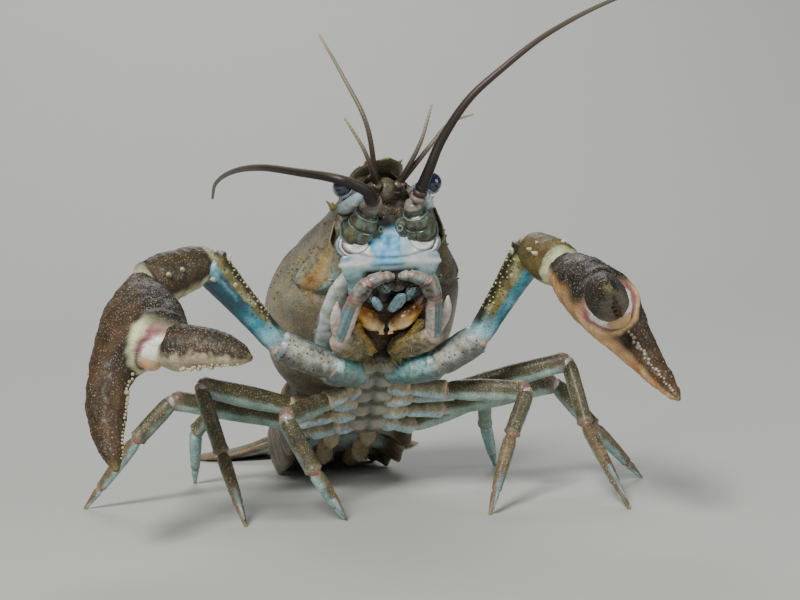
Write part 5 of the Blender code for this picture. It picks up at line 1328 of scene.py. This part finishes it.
def make_antennule(key):
    """The small forked feeler beside the snout, on its jointed root."""
    side = SIDES[key]
    root = [face_point(side * w, climb, out) for w, climb, out in
            ((1.9, 11.0, -0.5), (1.9, 11.1, 0.8), (1.9, 11.6, 2.2), (1.85, 12.0, 3.3), (1.8, 12.2, 4.1))]
    stalk = whip(root, [(0, 1.15), (0.35, 1.2), (0.7, 1.05), (1.0, 0.75)])[0]

    def paint_stalk(share, angle, point, outward):
        colour = SHELL_GREY.lerp(SHELL_OLIVE, 0.5 + 0.4 * blotch(point, 0.9)).lerp(FEELER_BROWN, 0.5)
        if key == "r":
            colour = colour.lerp(STALK_ORANGE, 0.8 * bell(0.4, 0.2, share) * ease(0.1, 0.6, -outward.x))
        for edge in ANTENNULE_JOINTS:
            colour = colour.lerp(SHELL_DARK, 0.8 * bell(edge, 0.025, share))
        return colour, 0.4, 0

    def stalk_relief(share, angle, point, outward):
        creases = sum(0.12 * bell(edge - 0.06, 0.05, share) - 0.18 * bell(edge, 0.03, share)
                      for edge in ANTENNULE_JOINTS)
        return creases + 0.08 * noise(point / 0.7)

    bm = stalk.skin(50, 32, paint_stalk, stalk_relief)
    finish(f"antennule_root_{key}", bm, FACE_SHELL, [])
    for number, tip in enumerate(ANTENNULE_TIPS[key]):
        spots = [face_point(side * 1.8, 12.0, 3.4)] + [Vector(spot) for spot in tip]
        sweep, length = whip(spots, [(0, 0.5), (0.5, 0.36), (1.0, 0.2)])

        def paint(share, angle, point, outward, length=length):
            colour = FEELER_BROWN.lerp(SHELL_GREY, ease(0.1, 0.8, share))
            colour = colour.lerp(CREAM, 0.5 * ease(0.8, 1.0, share))
            return colour, 0, share * length

        bm = sweep.skin(120, 12, paint)
        finish(f"antennule_whip_{key}_{number}", bm, FEELER_SHELL, [f"antennule_{key}"])


def make_eye(key):
    """A stalked eye: a dark glossy ball, cupped by its pale blue stalk."""
    side = SIDES[key]
    middle = face_point(side * EYE[0], EYE[1], EYE[2])
    root = face_point(side * STALK_ROOT[0], STALK_ROOT[1], STALK_ROOT[2])
    way = (middle - root).normalized()
    bm = new_form()
    bead(bm, middle, (EYE_RADIUS, EYE_RADIUS, EYE_RADIUS * 0.97), way, (EYE_NAVY, 0, 0), 56)
    for vert in bm.verts:
        edge = (vert.co - middle).dot(way) / EYE_RADIUS
        dye(bm, [vert], (EYE_NAVY.lerp(EYE_BLUE, 0.6 * ease(0.35, -0.2, edge)), 0, 0))
    finish(f"eye_{key}", bm, EYE_GLASS, [f"eye_{key}"])
    girths = [(0.0, 1.1), (0.3, 1.25), (0.55, 1.35), (0.8, 1.68), (0.95, 1.86), (1.0, 1.84)]
    sweep = Sweep([(s, root.lerp(middle, s), a, a) for s, a in girths], RIGHTWARDS, 2.0, 0.2, 0.1)

    def paint(share, angle, point, outward):
        colour = STALK_BLUE.lerp(SIGNAL_WHITE, 0.6 * blotch(point, 1.5, -0.3, 0.3))
        colour = colour.lerp(SHELL_GREY, 0.8 * ease(0.45, 0.25, share))
        colour = colour.lerp(SHELL_OLIVE, 0.7 * ease(0.4, 0.9, outward.z) * ease(0.98, 0.85, share))
        return colour.lerp(SHELL_DARK, 0.7 * ease(0.93, 0.99, share)), 0.15, 0

    bm = sweep.skin(50, 44, paint)
    finish(f"eyestalk_{key}", bm, FACE_SHELL, [f"eyestalk_{key}"])


def make_cheek_skin(key):
    """The pale soft skin between the mouth feet and the lower edge of the shield."""
    side = SIDES[key]
    fold = [(35.0, 6.9, 0.6, 0.8), (32.5, 7.5, 0.5, 1.5), (29.5, 8.1, 0.4, 1.9), (25.0, 8.5, 0.4, 2.0),
            (19.0, 8.7, 0.5, 1.8), (13.0, 8.6, 0.7, 1.0)]
    points = [body_point(forward, side * w, up) for forward, w, up, _ in fold]
    sweep = strung(points, [(wide, 0.9) for _, _, _, wide in fold], RIGHTWARDS, 2.2, 0.4, 0.4)

    def paint(share, angle, point, outward):
        colour = BLUE_WHITE.lerp(SIGNAL_WHITE, 0.3 + 0.3 * blotch(point, 2.0, -0.3, 0.3))
        colour = colour.lerp(SIGNAL_MINT.lerp(SHELL_TAN, 0.4), 0.6 * blotch(point + Vector((5, 1, 2)), 1.4))
        return colour.lerp(GROOVE_BLUE, 0.7 * ease(0.35, 0.9, share) * (0.4 + 0.6 * blotch(point, 1.1))), 0, 0

    def relief(share, angle, point, outward):
        return 0.2 * noise(point / 1.6) + 0.08 * noise(point / 0.6)

    bm = sweep.skin(80, 28, paint, relief)
    finish(f"cheek_skin_{key}", bm, SOFT_SKIN, [])


def make_mouth_floor():
    """The hollow of the mouth, painted near black as its shade, with its lip lobes."""
    widths = [(18, 4.6), (20, 6.2), (23, 7.4), (27, 7.4), (29.7, 5.8)]
    points = [body_point(x, 0, -0.3) for x, _ in widths]
    sweep = strung(points, [(w, 1.0) for _, w in widths], RIGHTWARDS, 3.2)

    def paint(share, angle, point, outward):
        # The hollow is painted near black as its shade, blotched with brown and dark gold
        colour = MOUTH_SHADOW.lerp(FEELER_BROWN, 0.6 * blotch(point, 1.2))
        return colour.lerp(JAW_GOLD * 0.6, 0.35 * blotch(point, 0.8)), 0.5, 0

    bm = sweep.skin(50, 60, paint, lambda share, angle, point, outward: 0.35 * noise(point / 1.1))
    finish("mouth_hollow", bm, BACK_SHELL, ["mouth_floor"])
    bm = new_form()
    forwards = body_way(1, 0, 0)
    bead(bm, body_point(34.3, -0.6, -1.4), (1.5, 1.1, 1.6), forwards,
         (GROOVE_BLUE.lerp(SHELL_GREY, 0.6), 0, 0), 30)
    bead(bm, body_point(34.0, 1.4, -1.3), (1.3, 1.0, 1.2), forwards, (SHELL_GREY, 0, 0), 30)
    for side, long, wide in ((-1, 1.5, 0.75), (1, 2.1, 0.95)):
        way = body_way(1, side * 0.55, 0.1).normalized()
        bead(bm, body_point(31.2, side * 1.7 - 0.3, -2.6), (wide, wide, long), way, (LIP_LOBE, 0, 0), 30)
        bead(bm, body_point(32.6, side * 3.6, -1.8), (0.8, 0.9, 1.7), way, (SIDE_LOBE, 0, 0), 26)
        bead(bm, body_point(30.4, side * 5.4, -2.0), (0.9, 0.9, 2.4), way, (OUTER_LOBE, 0, 0), 26)
    for vert in bm.verts:
        dent = noise(vert.co / 0.7)
        vert.co += body_way(0.1, 0.25, -0.45) * dent
        colour = vert[bm.verts.layers.float_color["tint"]].xyz
        dye(bm, [vert], (colour.lerp(SHELL_DARK, 0.6 * ease(0.0, -0.5, dent)), 0, 0))
    finish("mouth_lobes", bm, SOFT_SKIN, [])


def make_mandible(key):
    """A golden jaw: a painted highlight down its middle, painted shade at its sides, blunt teeth at the
    midline.
    """
    side = SIDES[key]
    shape = [(5.8, 30.4, -2.4, 0.5, 0.5), (4.6, 29.5, -2.8, 1.1, 1.1), (3.4, 28.4, -3.1, 1.6, 1.5),
             (2.0, 27.2, -3.3, 1.5, 1.4), (0.8, 26.3, -3.3, 0.7, 0.7)]
    points = [body_point(forward, side * w, up) for w, forward, up, _, _ in shape]
    sweep = strung(points, [entry[3:] for entry in shape], body_way(1, 0, 0), 2.0, 0.5, 0.5)

    def paint(share, angle, point, outward):
        # Where the jaw faces forward it gets a painted highlight in pale gold; where it turns away its own
        # amber-brown is deepened as painted shade
        streak = bell(0.0, 0.42, outward.dot(body_way(1, 0, 0)) - 0.1 + 0.2 * noise(point / 0.9))
        colour = JAW_GOLD.lerp(JAW_BROWN, 0.9 * (1 - streak))
        colour = colour.lerp(JAW_PALE, 0.9 * streak * ease(0.15, 0.5, share)
                             * (0.6 + 0.4 * blotch(point, 0.8)))
        # A pale tip, and a white painted highlight on the forward-facing streak
        colour = colour.lerp(SIGNAL_WHITE, 0.6 * ease(0.86, 1.0, share)
                             + 0.4 * streak * bell(0.65, 0.12, share))
        return colour, 0.2, 0

    bm = sweep.skin(60, 48, paint, lambda share, angle, point, outward: 0.16 * noise(point / 0.8))
    for number in range(4):
        root = body_point(25.5 + number * 0.7, side * (1.1 + 0.25 * number), -3.7)
        tip = body_point(25.3 + number * 0.7, side * (0.3 + 0.2 * number), -4.0)
        thorn(bm, root, tip, 0.42, (JAW_PALE.lerp(SIGNAL_WHITE, 0.3), 0, 0), 0.14, 12)
    finish(f"mandible_{key}", bm, JAW_SHELL, [f"mandible_{key}"])


def make_maxilliped(key):
    """An outer mouth foot: olive root plate with a golden toothed crest, pale post, flange and palp."""
    side = SIDES[key]
    joints = [body_point(forward, side * w, up) for forward, w, up in MAXILLIPED]
    upward = body_way(0, 0, 1)
    start, end = joints[0], joints[1]
    girths = [(0, 1.3, 1.7), (0.2, 1.5, 2.6), (0.55, 1.5, 3.0), (0.9, 1.35, 2.4), (1.12, 0.9, 1.4)]
    plate = article(start, end, girths, upward, 2.6)

    def paint_plate(share, angle, point, outward):
        colour = OLIVE_GOLD.lerp(CREAM, 0.15 + 0.5 * blotch(point, 1.2))
        colour = colour.lerp(SHELL_OLIVE, 0.6 * ease(0.5, 0.0, share) * blotch(point, 0.8))
        colour = colour.lerp(SHELL_DARK, 0.5 * blotch(point, 0.5, 0.0, 0.4))
        return colour.lerp(FOOT_BUFF, 0.8 * ease(0.9, 1.05, share)), 1.0, 0

    bm = plate.skin(50, 44, paint_plate, lambda share, angle, point, outward: 0.15 * noise(point / 0.7))
    for number in range(22):
        share = number / 21
        root = body_point(21.4 + 7.2 * share, side * (1.45 + 5.0 * share - 1.2 * share * share), -4.35)
        tip = root + body_way(0.3, -side * 0.42, -0.2)
        tooth = TOOTH_GOLD.lerp(JAW_PALE, uniform(0, 0.5))
        thorn(bm, root - body_way(0.3, -side * 0.5, 0), tip, 0.16, (tooth, 0, 0), 0.05, 6)
    crest = Sweep([(s, body_point(20.9 + 7.2 * s, side * (2.1 + 5.0 * s - 1.2 * s * s), -4.2), 0.5, wide)
                   for s, wide in ((0, 0.5), (0.25, 0.85), (0.5, 0.95), (0.75, 0.85), (1, 0.4))], upward, 2.2)
    finish(f"maxilliped_root_{key}", bm, LEG_SHELL, [f"maxilliped_{key}"])
    inwards = body_way(0.5, -side, 0).normalized()

    def paint_crest(share, angle, point, outward):
        colour = OLIVE_GOLD.lerp(CREAM, 0.15 + 0.4 * blotch(point, 1.0))
        colour = colour.lerp(SHELL_DARK, 0.4 * blotch(point, 0.5, 0.0, 0.4))
        return colour.lerp(CREST_GOLD, 0.8 * ease(0.2, 0.8, outward.dot(inwards))), 0.6, 0

    bm = crest.skin(40, 28, paint_crest, lambda share, angle, point, outward: 0.1 * noise(point / 0.6))
    finish(f"maxilliped_crest_{key}", bm, LEG_SHELL, [])

    # The post and the palp, one article after another
    bones = [[(0.0, 1.1, 1.1), (0.12, 1.35, 1.35), (0.5, 1.3, 1.4), (0.88, 1.2, 1.25), (1.0, 0.9, 1.0)],
             [(0.0, 1.1, 1.2), (0.2, 1.3, 1.45), (0.85, 1.15, 1.3), (1.0, 0.9, 0.95)],
             [(0.0, 0.85, 0.95), (0.2, 1.05, 1.15), (0.85, 0.9, 1.0), (1.0, 0.7, 0.75)],
             [(0.0, 0.65, 0.7), (0.3, 0.85, 0.9), (0.8, 0.6, 0.65), (1.0, 0.3, 0.3)]]
    for number, girths in enumerate(bones):
        part = article(joints[number + 1], joints[number + 2], girths, upward, 2.2)

        def paint(share, angle, point, outward, number=number):
            if number == 0:
                stripe = outward.dot(body_way(0, side * 0.75, -0.65).normalized())
                colour = POST_CREAM.lerp(POST_GREEN, 0.7 * blotch(point, 0.9, -0.2, 0.4))
                line = 0.95 * bell(0.9, 0.14, stripe) * ease(0.08, 0.2, share)
                colour = colour.lerp(MERUS_CYAN.lerp(RIM_TEAL, 0.4), line)
                colour = colour.lerp(SHELL_DARK, 0.75 * bell(0.68, 0.07, stripe))
                colour = colour.lerp(SIGNAL_WHITE, 0.6 * bell(0.4, 0.12, stripe))
                colour = colour.lerp(JOINT_ROSE, 0.5 * bell(0.86, 0.04, share))
                colour = colour.lerp(SHELL_OLIVE, 0.35 * blotch(point, 0.5, 0.0, 0.4))
                return colour.lerp(SHELL_GREY, 0.9 * ease(0.88, 0.95, share)), -0.5, 0
            colour = PALP_PINK.lerp(SHELL_GREY, 0.4 + 0.6 * blotch(point, 0.9, -0.3, 0.3))
            colour = colour.lerp(JOINT_ROSE, 0.35 * blotch(point, 1.3))
            colour = colour.lerp(GROOVE_BLUE, 0.5 * blotch(point + Vector((1, 7, 3)), 0.9))
            # Painted shade where the palp faces down, and dark blotches on the article after the post
            colour = colour.lerp(SHELL_DARK, 0.6 * ease(0.0, -0.6, outward.z)
                                 + 0.4 * (number == 1) * blotch(point, 0.7))
            return colour, 0.8, 0

        bm = part.skin(36, 32, paint, rim_relief)
        finish(f"maxilliped_article_{number}_{key}", bm, FACE_SHELL, [f"maxilliped_palp_{key}"])
    bm = new_form()
    for spot, size, colour in ((joints[1], 1.45, FOOT_BUFF),
                               (joints[2], 1.25, JOINT_ROSE.lerp(SHELL_GREY, 0.4)),
                               (joints[3], 1.0, JOINT_PINK.lerp(SHELL_GREY, 0.4)),
                               (joints[4], 0.7, JOINT_PINK.lerp(SHELL_GREY, 0.4))):
        bead(bm, spot, (size, size, size), upward, (colour, 0, 0), 20)
    finish(f"maxilliped_joints_{key}", bm, SOFT_SKIN, [])

    # The pointed flange outside the post
    flange_spots = [(24.6, 6.9, -5.0, 0.7, 0.5), (26.8, 8.1, -5.2, 1.1, 0.5), (29.6, 8.9, -5.1, 1.2, 0.45),
                    (32.2, 9.3, -4.8, 0.8, 0.4), (34.0, 9.3, -4.4, 0.15, 0.12)]
    points = [body_point(forward, side * w, up) for forward, w, up, _, _ in flange_spots]
    flange = strung(points, [entry[3:] for entry in flange_spots], RIGHTWARDS, 2.0, 0.3, 0.1)

    def paint_flange(share, angle, point, outward):
        colour = FLANGE_PALE.lerp(FLANGE_GREY, 0.8 * blotch(point, 0.8, -0.2, 0.3))
        colour = colour.lerp(JOINT_PINK, 0.8 * bell(0.0, 0.5, cos(angle)) * ease(0.95, 0.3, share))
        return colour, 0.3, 0

    bm = flange.skin(40, 28, paint_flange)
    finish(f"maxilliped_flange_{key}", bm, FACE_SHELL, [])


def make_mouth_setae():
    """Brown bristles under the palps' arch, and olive fuzz below the mouth."""
    hairs = []
    for side in SIDES.values():
        joints = [body_point(forward, side * w, up) for forward, w, up in MAXILLIPED]
        for _ in range(330):
            bone = choice((1, 2, 2, 3, 3, 4))
            root = joints[bone].lerp(joints[min(bone + 1, 5)], chance())
            back, outwards, up = uniform(-0.6, -0.2), -side * uniform(0.1, 0.7), uniform(-0.5, 0.7)
            root += body_way(back, outwards, up)
            length = uniform(1.4, 3.2) * (0.7 if bone == 1 else 1.0)
            way = body_way(-1.0, -side * uniform(0.2, 0.9), uniform(-0.2, 0.5)).normalized()
            hairs.append((root, root + way * length, 0.085))
    setae("palp_bristles", hairs, BRISTLE_BROWN * 0.7)
    hairs = []
    for _ in range(420):
        share = chance()
        side = choice((-1, 1))
        root = body_point(17.6 + 7.5 * share, side * (uniform(0.2, 2.6) + 4.6 * share), -3.4 - 0.9 * share)
        way = body_way(uniform(-0.8, 0.3), side * uniform(-0.3, 0.8), -1.0).normalized()
        hairs.append((root, root + way * uniform(0.8, 1.9), 0.07))
    setae("mouth_fuzz", hairs, FUZZ_OLIVE)


def make_sternum():
    """The chest floor: five pairs of pale bosses between the legs, greyed as painted shade, with painted
    shade in the gaps and the middle groove.
    """
    points = [body_point(x, 0, -1.2) for x in (-0.6, 6, 12, 17.4)]
    sweep = strung(points, [(3.7, 2.1)] * len(points), RIGHTWARDS, 3.4, 0.3, 0.4)

    def waves(share):
        return cos(2 * pi * (share * 5.0 - 0.5))

    def paint(share, angle, point, outward):
        # Grey-brown blotches on a grey darkened as painted shade; painted shade in the gaps between the
        # bosses and down the middle groove
        colour = SHADED_CHEST_GREY.lerp(SHELL_TAN, 0.5 * blotch(point, 1.4)).lerp(CREAM, 0.25)
        colour = colour.lerp(SHELL_DARK, 0.75 * ease(-0.1, -0.9, waves(share)))
        return colour.lerp(SHELL_DARK, 0.5 * bell(0, 0.35, (BODY_BACK @ point).x)), 0.4, 0

    def relief(share, angle, point, outward):
        w = abs((BODY_BACK @ point).x)
        bosses = 0.35 * waves(share) + 0.5 * bell(2.0, 1.0, w) * max(waves(share), 0)
        return (bosses - 0.5 * bell(0, 0.6, w)) * ease(0, 0.06, share)

    bm = sweep.skin(90, 64, paint, relief)
    finish("sternum", bm, FACE_SHELL, ["sternum"])


def ring_lines():
    """The points between the tail's rings, each with its way onwards."""
    point = body_point(0, RING_START[0], RING_START[1])
    points, ways = [point], []
    for length, pitch, _, _, _ in RINGS:
        way = Vector((0, cos(radians(pitch)), -sin(radians(pitch))))
        point = point + way * length
        points.append(point)
        ways.append(way)
    return points, ways


def make_ring(number):
    """One ring of the tail: a smooth arched plate, its hind edge pale, its flaps hanging at the sides."""
    points, ways = ring_lines()
    length, _, wide, above, below = RINGS[number]
    point, way = points[number], ways[number]
    up = RIGHTWARDS.cross(way)
    swells = [(-0.12, 0.9), (0.0, 0.955), (0.2, 0.985), (0.6, 1.0), (0.95, 1.03), (1.14, 1.02)]
    drops = [(-0.12, 0.72), (0.04, 0.78), (0.2, 0.9), (0.6, 1.0), (0.9, 0.98), (1.14, 0.88)]
    rows, around = 50, 120

    def place(row, angle):
        share = -0.12 + 1.26 * min(max((row - 2) / (rows - 4), 0), 1)
        rise, out = sin(angle), cos(angle)
        swell, drop = reading(swells, share), reading(drops, share)
        middle = point + way * (length * share)
        if row in (0, rows):
            return middle, (SHELL_DARK, 0, 0)
        ridge = 1 + 0.018 * bell(0.28, 0.05, share) - 0.014 * bell(0.36, 0.035, share)
        swell *= ridge * (0.985 if row in (1, rows - 1) else 1)
        low = degrees(asin(min(max(-rise, 0), 1)))
        if rise >= 0:
            spot = RIGHTWARDS * (wide * swell * out) + up * (above * swell * rise)
        else:
            spot = (RIGHTWARDS * (wide * swell * copysign(reading(RING_OUT, low), out))
                    - up * (below * drop * reading(RING_DOWN, low)))
        if row in (1, rows - 1):
            spot *= 0.93
        found = middle + spot
        colour = TAIL_OLIVE.lerp(TAIL_BROWN, blotch(found, 3.5, -0.3, 0.3))
        colour = colour.lerp(TAIL_RUST, 0.5 * blotch(found, 2.4, 0.0, 0.5))
        colour = colour.lerp(SHELL_DARK, 0.5 * bell(0.32, 0.03, share)
                             + 0.35 * bell(0.0, 0.5, out) * ease(0, 0.5, rise))
        colour = colour.lerp(SHELL_TAN.lerp(TAIL_RUST, 0.4), 0.85 * ease(0.93, 1.02, share))
        colour = colour.lerp(SHELL_TAN, 0.6 * bell(36, 10, low))
        colour = colour.lerp(BLUE_WHITE.lerp(SHELL_TAN, 0.4), ease(48, 62, low))
        return found, (colour, 0.45 * ease(60, 30, low), 0)

    bm = rolled(rows, around, place)
    finish(f"abdomen_ring_{number + 1}", bm, LEG_SHELL, [f"abdomen_{number + 1}"])
    if number in (1, 2, 3, 4):
        for key, side in SIDES.items():
            root = point + way * (length * 0.45) + RIGHTWARDS * (side * 3.4)
            spots = [(0.3, -0.8, 1.0), (0.58, 0.2, 1.4), (0.72, 1.4, 1.7), (0.82, 2.6, 1.3), (0.86, 3.4, 0.4)]
            middles = [root - up * (below * drop) + way * back for drop, back, _ in spots]
            halves = [(half, 0.38) for _, _, half in spots]
            sweep = strung(middles, halves, RIGHTWARDS, 2.0, 0.5, 0.5)
            bm = sweep.skin(30, 24, lambda share, angle, point, outward: (SHELL_TAN.lerp(CREAM, 0.3), 0.4, 0))
            finish(f"swimmeret_{number + 1}_{key}", bm, LEG_SHELL, [])
            hairs = []
            for _ in range(60):
                share = uniform(0.35, 1.0)
                turn = choice((0, pi)) + uniform(-0.4, 0.4)
                spot, outward = sweep.surface(share, turn)
                way_out = (outward * (1.2 - share) + way * 0.9 - up * 0.3).normalized()
                hairs.append((spot - way_out * 0.2, spot + way_out * uniform(0.8, 1.5), 0.06))
            setae(f"swimmeret_fringe_{number + 1}_{key}", hairs, SWIM_FRINGE)


def make_tail_plate(name, spots, nodes):
    """One blade of the tail fan: a ribbed plate with a pale margin and a fringe of hairs."""
    end = ring_lines()[0][-1]
    middles = [Vector((w, end.y + back, up)) for w, back, up, _, _ in spots]
    across = UP.cross(middles[-1] - middles[0])
    sweep = strung(middles, [entry[3:] for entry in spots], across, 2.4)

    def paint(share, angle, point, outward):
        colour = TAIL_OLIVE.lerp(TAIL_BROWN, blotch(point, 2.2, -0.3, 0.3))
        colour = colour.lerp(TAIL_RUST, 0.6 * blotch(point, 1.5, 0, 0.4))
        rim = max(ease(0.86, 0.98, share), ease(0.88, 1.0, abs(cos(angle))) * ease(0.2, 0.4, share))
        colour = colour.lerp(SHELL_TAN, 0.75 * rim).lerp(SHELL_DARK, 0.6 * bell(0.62, 0.012, share))
        return colour.lerp(BLUE_WHITE.lerp(SHELL_TAN, 0.5), ease(-0.2, -0.6, outward.z)), 0.6 * (1 - rim), 0

    def relief(share, angle, point, outward):
        rib = 0.28 * bell(0.0, 0.12, cos(angle)) + 0.12 * bell(0.5, 0.07, abs(cos(angle)))
        return rib * ease(0.05, 0.2, share) * ease(0.95, 0.8, share) - 0.12 * bell(0.62, 0.015, share)

    bm = sweep.skin(80, 72, paint, relief)
    for turn in (0.12, pi - 0.12):
        spot, outward = sweep.surface(0.62, turn)
        ahead = (middles[-1] - middles[0]).normalized()
        thorn(bm, spot - ahead * 0.5 - outward * 0.4, spot + ahead * 1.2 + outward * 0.15, 0.35,
              (TIP_YELLOW, 0, 0), 0.05)
    cut_at_floor(bm)
    finish(name, bm, LEG_SHELL, nodes)
    hairs = []
    ahead = (middles[-1] - middles[-3]).normalized()
    for _ in range(150):
        share = 1 - 0.42 * chance() ** 1.6
        turn = choice((0, pi)) + uniform(-0.12, 0.12)
        inset = 1.0 if share < 0.985 else chance()
        spot, outward = sweep.surface(share, turn)
        spot = reading(sweep.middles, share).lerp(spot, inset)
        way = (ahead * (0.25 + 2.2 * ease(0.7, 1.0, share)) + outward).normalized()
        way.z = max(way.z, -0.02)
        root = spot - way * 0.25
        root.z = max(root.z, 0.25)
        tip = root + way * uniform(1.1, 1.7)
        tip.z = max(tip.z, 0.15)
        hairs.append((root, tip, 0.06))
    setae(f"{name}_fringe", hairs, FAN_FRINGE)


def make_tail():
    """The six rings and the fan."""
    for number in range(len(RINGS)):
        make_ring(number)
    make_tail_plate("telson", TELSON, ["telson"])
    for key, side in SIDES.items():
        for name, spots in (("inner", INNER_UROPOD), ("outer", OUTER_UROPOD)):
            placed = [(side * w, back, up, wide, thick) for w, back, up, wide, thick in spots]
            make_tail_plate(f"uropod_{name}_{key}", placed, [f"uropods_{key}"])


def set_camera():
    """The photograph's view: a long lens a little above the floor, turned to the animal's right."""
    turn, lift, roll = radians(-13), radians(4.5), radians(2.2)
    target = body_point(29, 0, -3) + STANCE
    back = Vector((sin(turn) * cos(lift), -cos(turn) * cos(lift), sin(lift)))
    level = Vector((cos(turn), sin(turn), 0))
    upright = back.cross(level)
    right = level * cos(roll) - upright * sin(roll)
    above = level * sin(roll) + upright * cos(roll)
    camera = bpy.data.cameras.new("photo_camera")
    camera.lens = LENS
    camera.sensor_width = SENSOR
    # The target falls 12.5 pixels left and 14 below the middle of 800 by 600
    camera.shift_x = 12.5 / PICTURE_WIDTH
    camera.shift_y = 14 / PICTURE_WIDTH
    camera.clip_start = 0.01
    holder = bpy.data.objects.new("photo_camera", camera)
    bpy.context.scene.collection.objects.link(holder)
    turned = Matrix((right, above, back)).transposed().to_4x4()
    holder.matrix_world = Matrix.Translation((target + back * CAMERA_AWAY) * MM) @ turned
    bpy.context.scene.camera = holder


def set_light():
    """A large soft key from the upper left front, a fill on the right and a rim from behind.

    Each lamp has its place, its width, its watts and its colour.
    """
    for name, spot, size, power, colour in (
            ("key", (-520, -840, 800), 300, 17.6, (1.0, 0.97, 0.93)),
            ("fill", (760, -600, 360), 500, 3.0, (0.97, 1.0, 0.98)),
            ("rim", (120, 760, 680), 480, 3.6, (1.0, 1.0, 1.0))):
        lamp = bpy.data.lights.new(name, "AREA")
        lamp.size = size * MM
        lamp.energy = power
        lamp.color = colour
        holder = bpy.data.objects.new(name, lamp)
        spot = Vector(spot)
        holder.rotation_euler = (spot - Vector((0, 0, 40))).to_track_quat("Z", "Y").to_euler()
        holder.location = spot * MM
        bpy.context.scene.collection.objects.link(holder)
    world = bpy.data.worlds.new("studio")
    world.use_nodes = True
    world.node_tree.nodes["Background"].inputs["Color"].default_value = (0.79, 0.80, 0.77, 1)
    world.node_tree.nodes["Background"].inputs["Strength"].default_value = 0.2
    bpy.context.scene.world = world


def make_floor():
    """The plain pale floor of the studio."""
    bm = bmesh.new()
    bmesh.ops.create_grid(bm, x_segments=2, y_segments=120, size=3)
    # The paper sweeps up behind the model, so that no horizon shows
    for vert in bm.verts:
        vert.co.z = SWEEP_RISE * max(vert.co.y - SWEEP_START, 0) ** 2
    mesh = bpy.data.meshes.new("studio_floor")
    bm.to_mesh(mesh)
    bm.free()
    mesh.shade_smooth()
    made, _, shader = new_finish("matt_pale_paper")
    shader.inputs["Base Color"].default_value = (*PAPER, 1)
    shader.inputs["Roughness"].default_value = 0.85
    mesh.materials.append(made)
    floor = bpy.data.objects.new("studio_floor", mesh)
    bpy.context.scene.collection.objects.link(floor)


set_camera()
set_light()
make_floor()
make_carapace()
make_snout()
for key in SIDES:
    make_arm_root(key)
    make_merus(key)
    make_carpus(key)
    make_claw(key)
    make_free_finger(key)
    make_antenna_base(key)
    make_antenna_scale(key)
    make_antenna(key)
    make_antennule(key)
    make_eye(key)
    make_mandible(key)
    make_maxilliped(key)
    make_cheek_skin(key)
for name in LEGS:
    make_leg(name)
make_epistome()
make_face_lobes()
make_face_pad()
make_mouth_floor()
make_mouth_setae()
make_sternum()
make_tail()
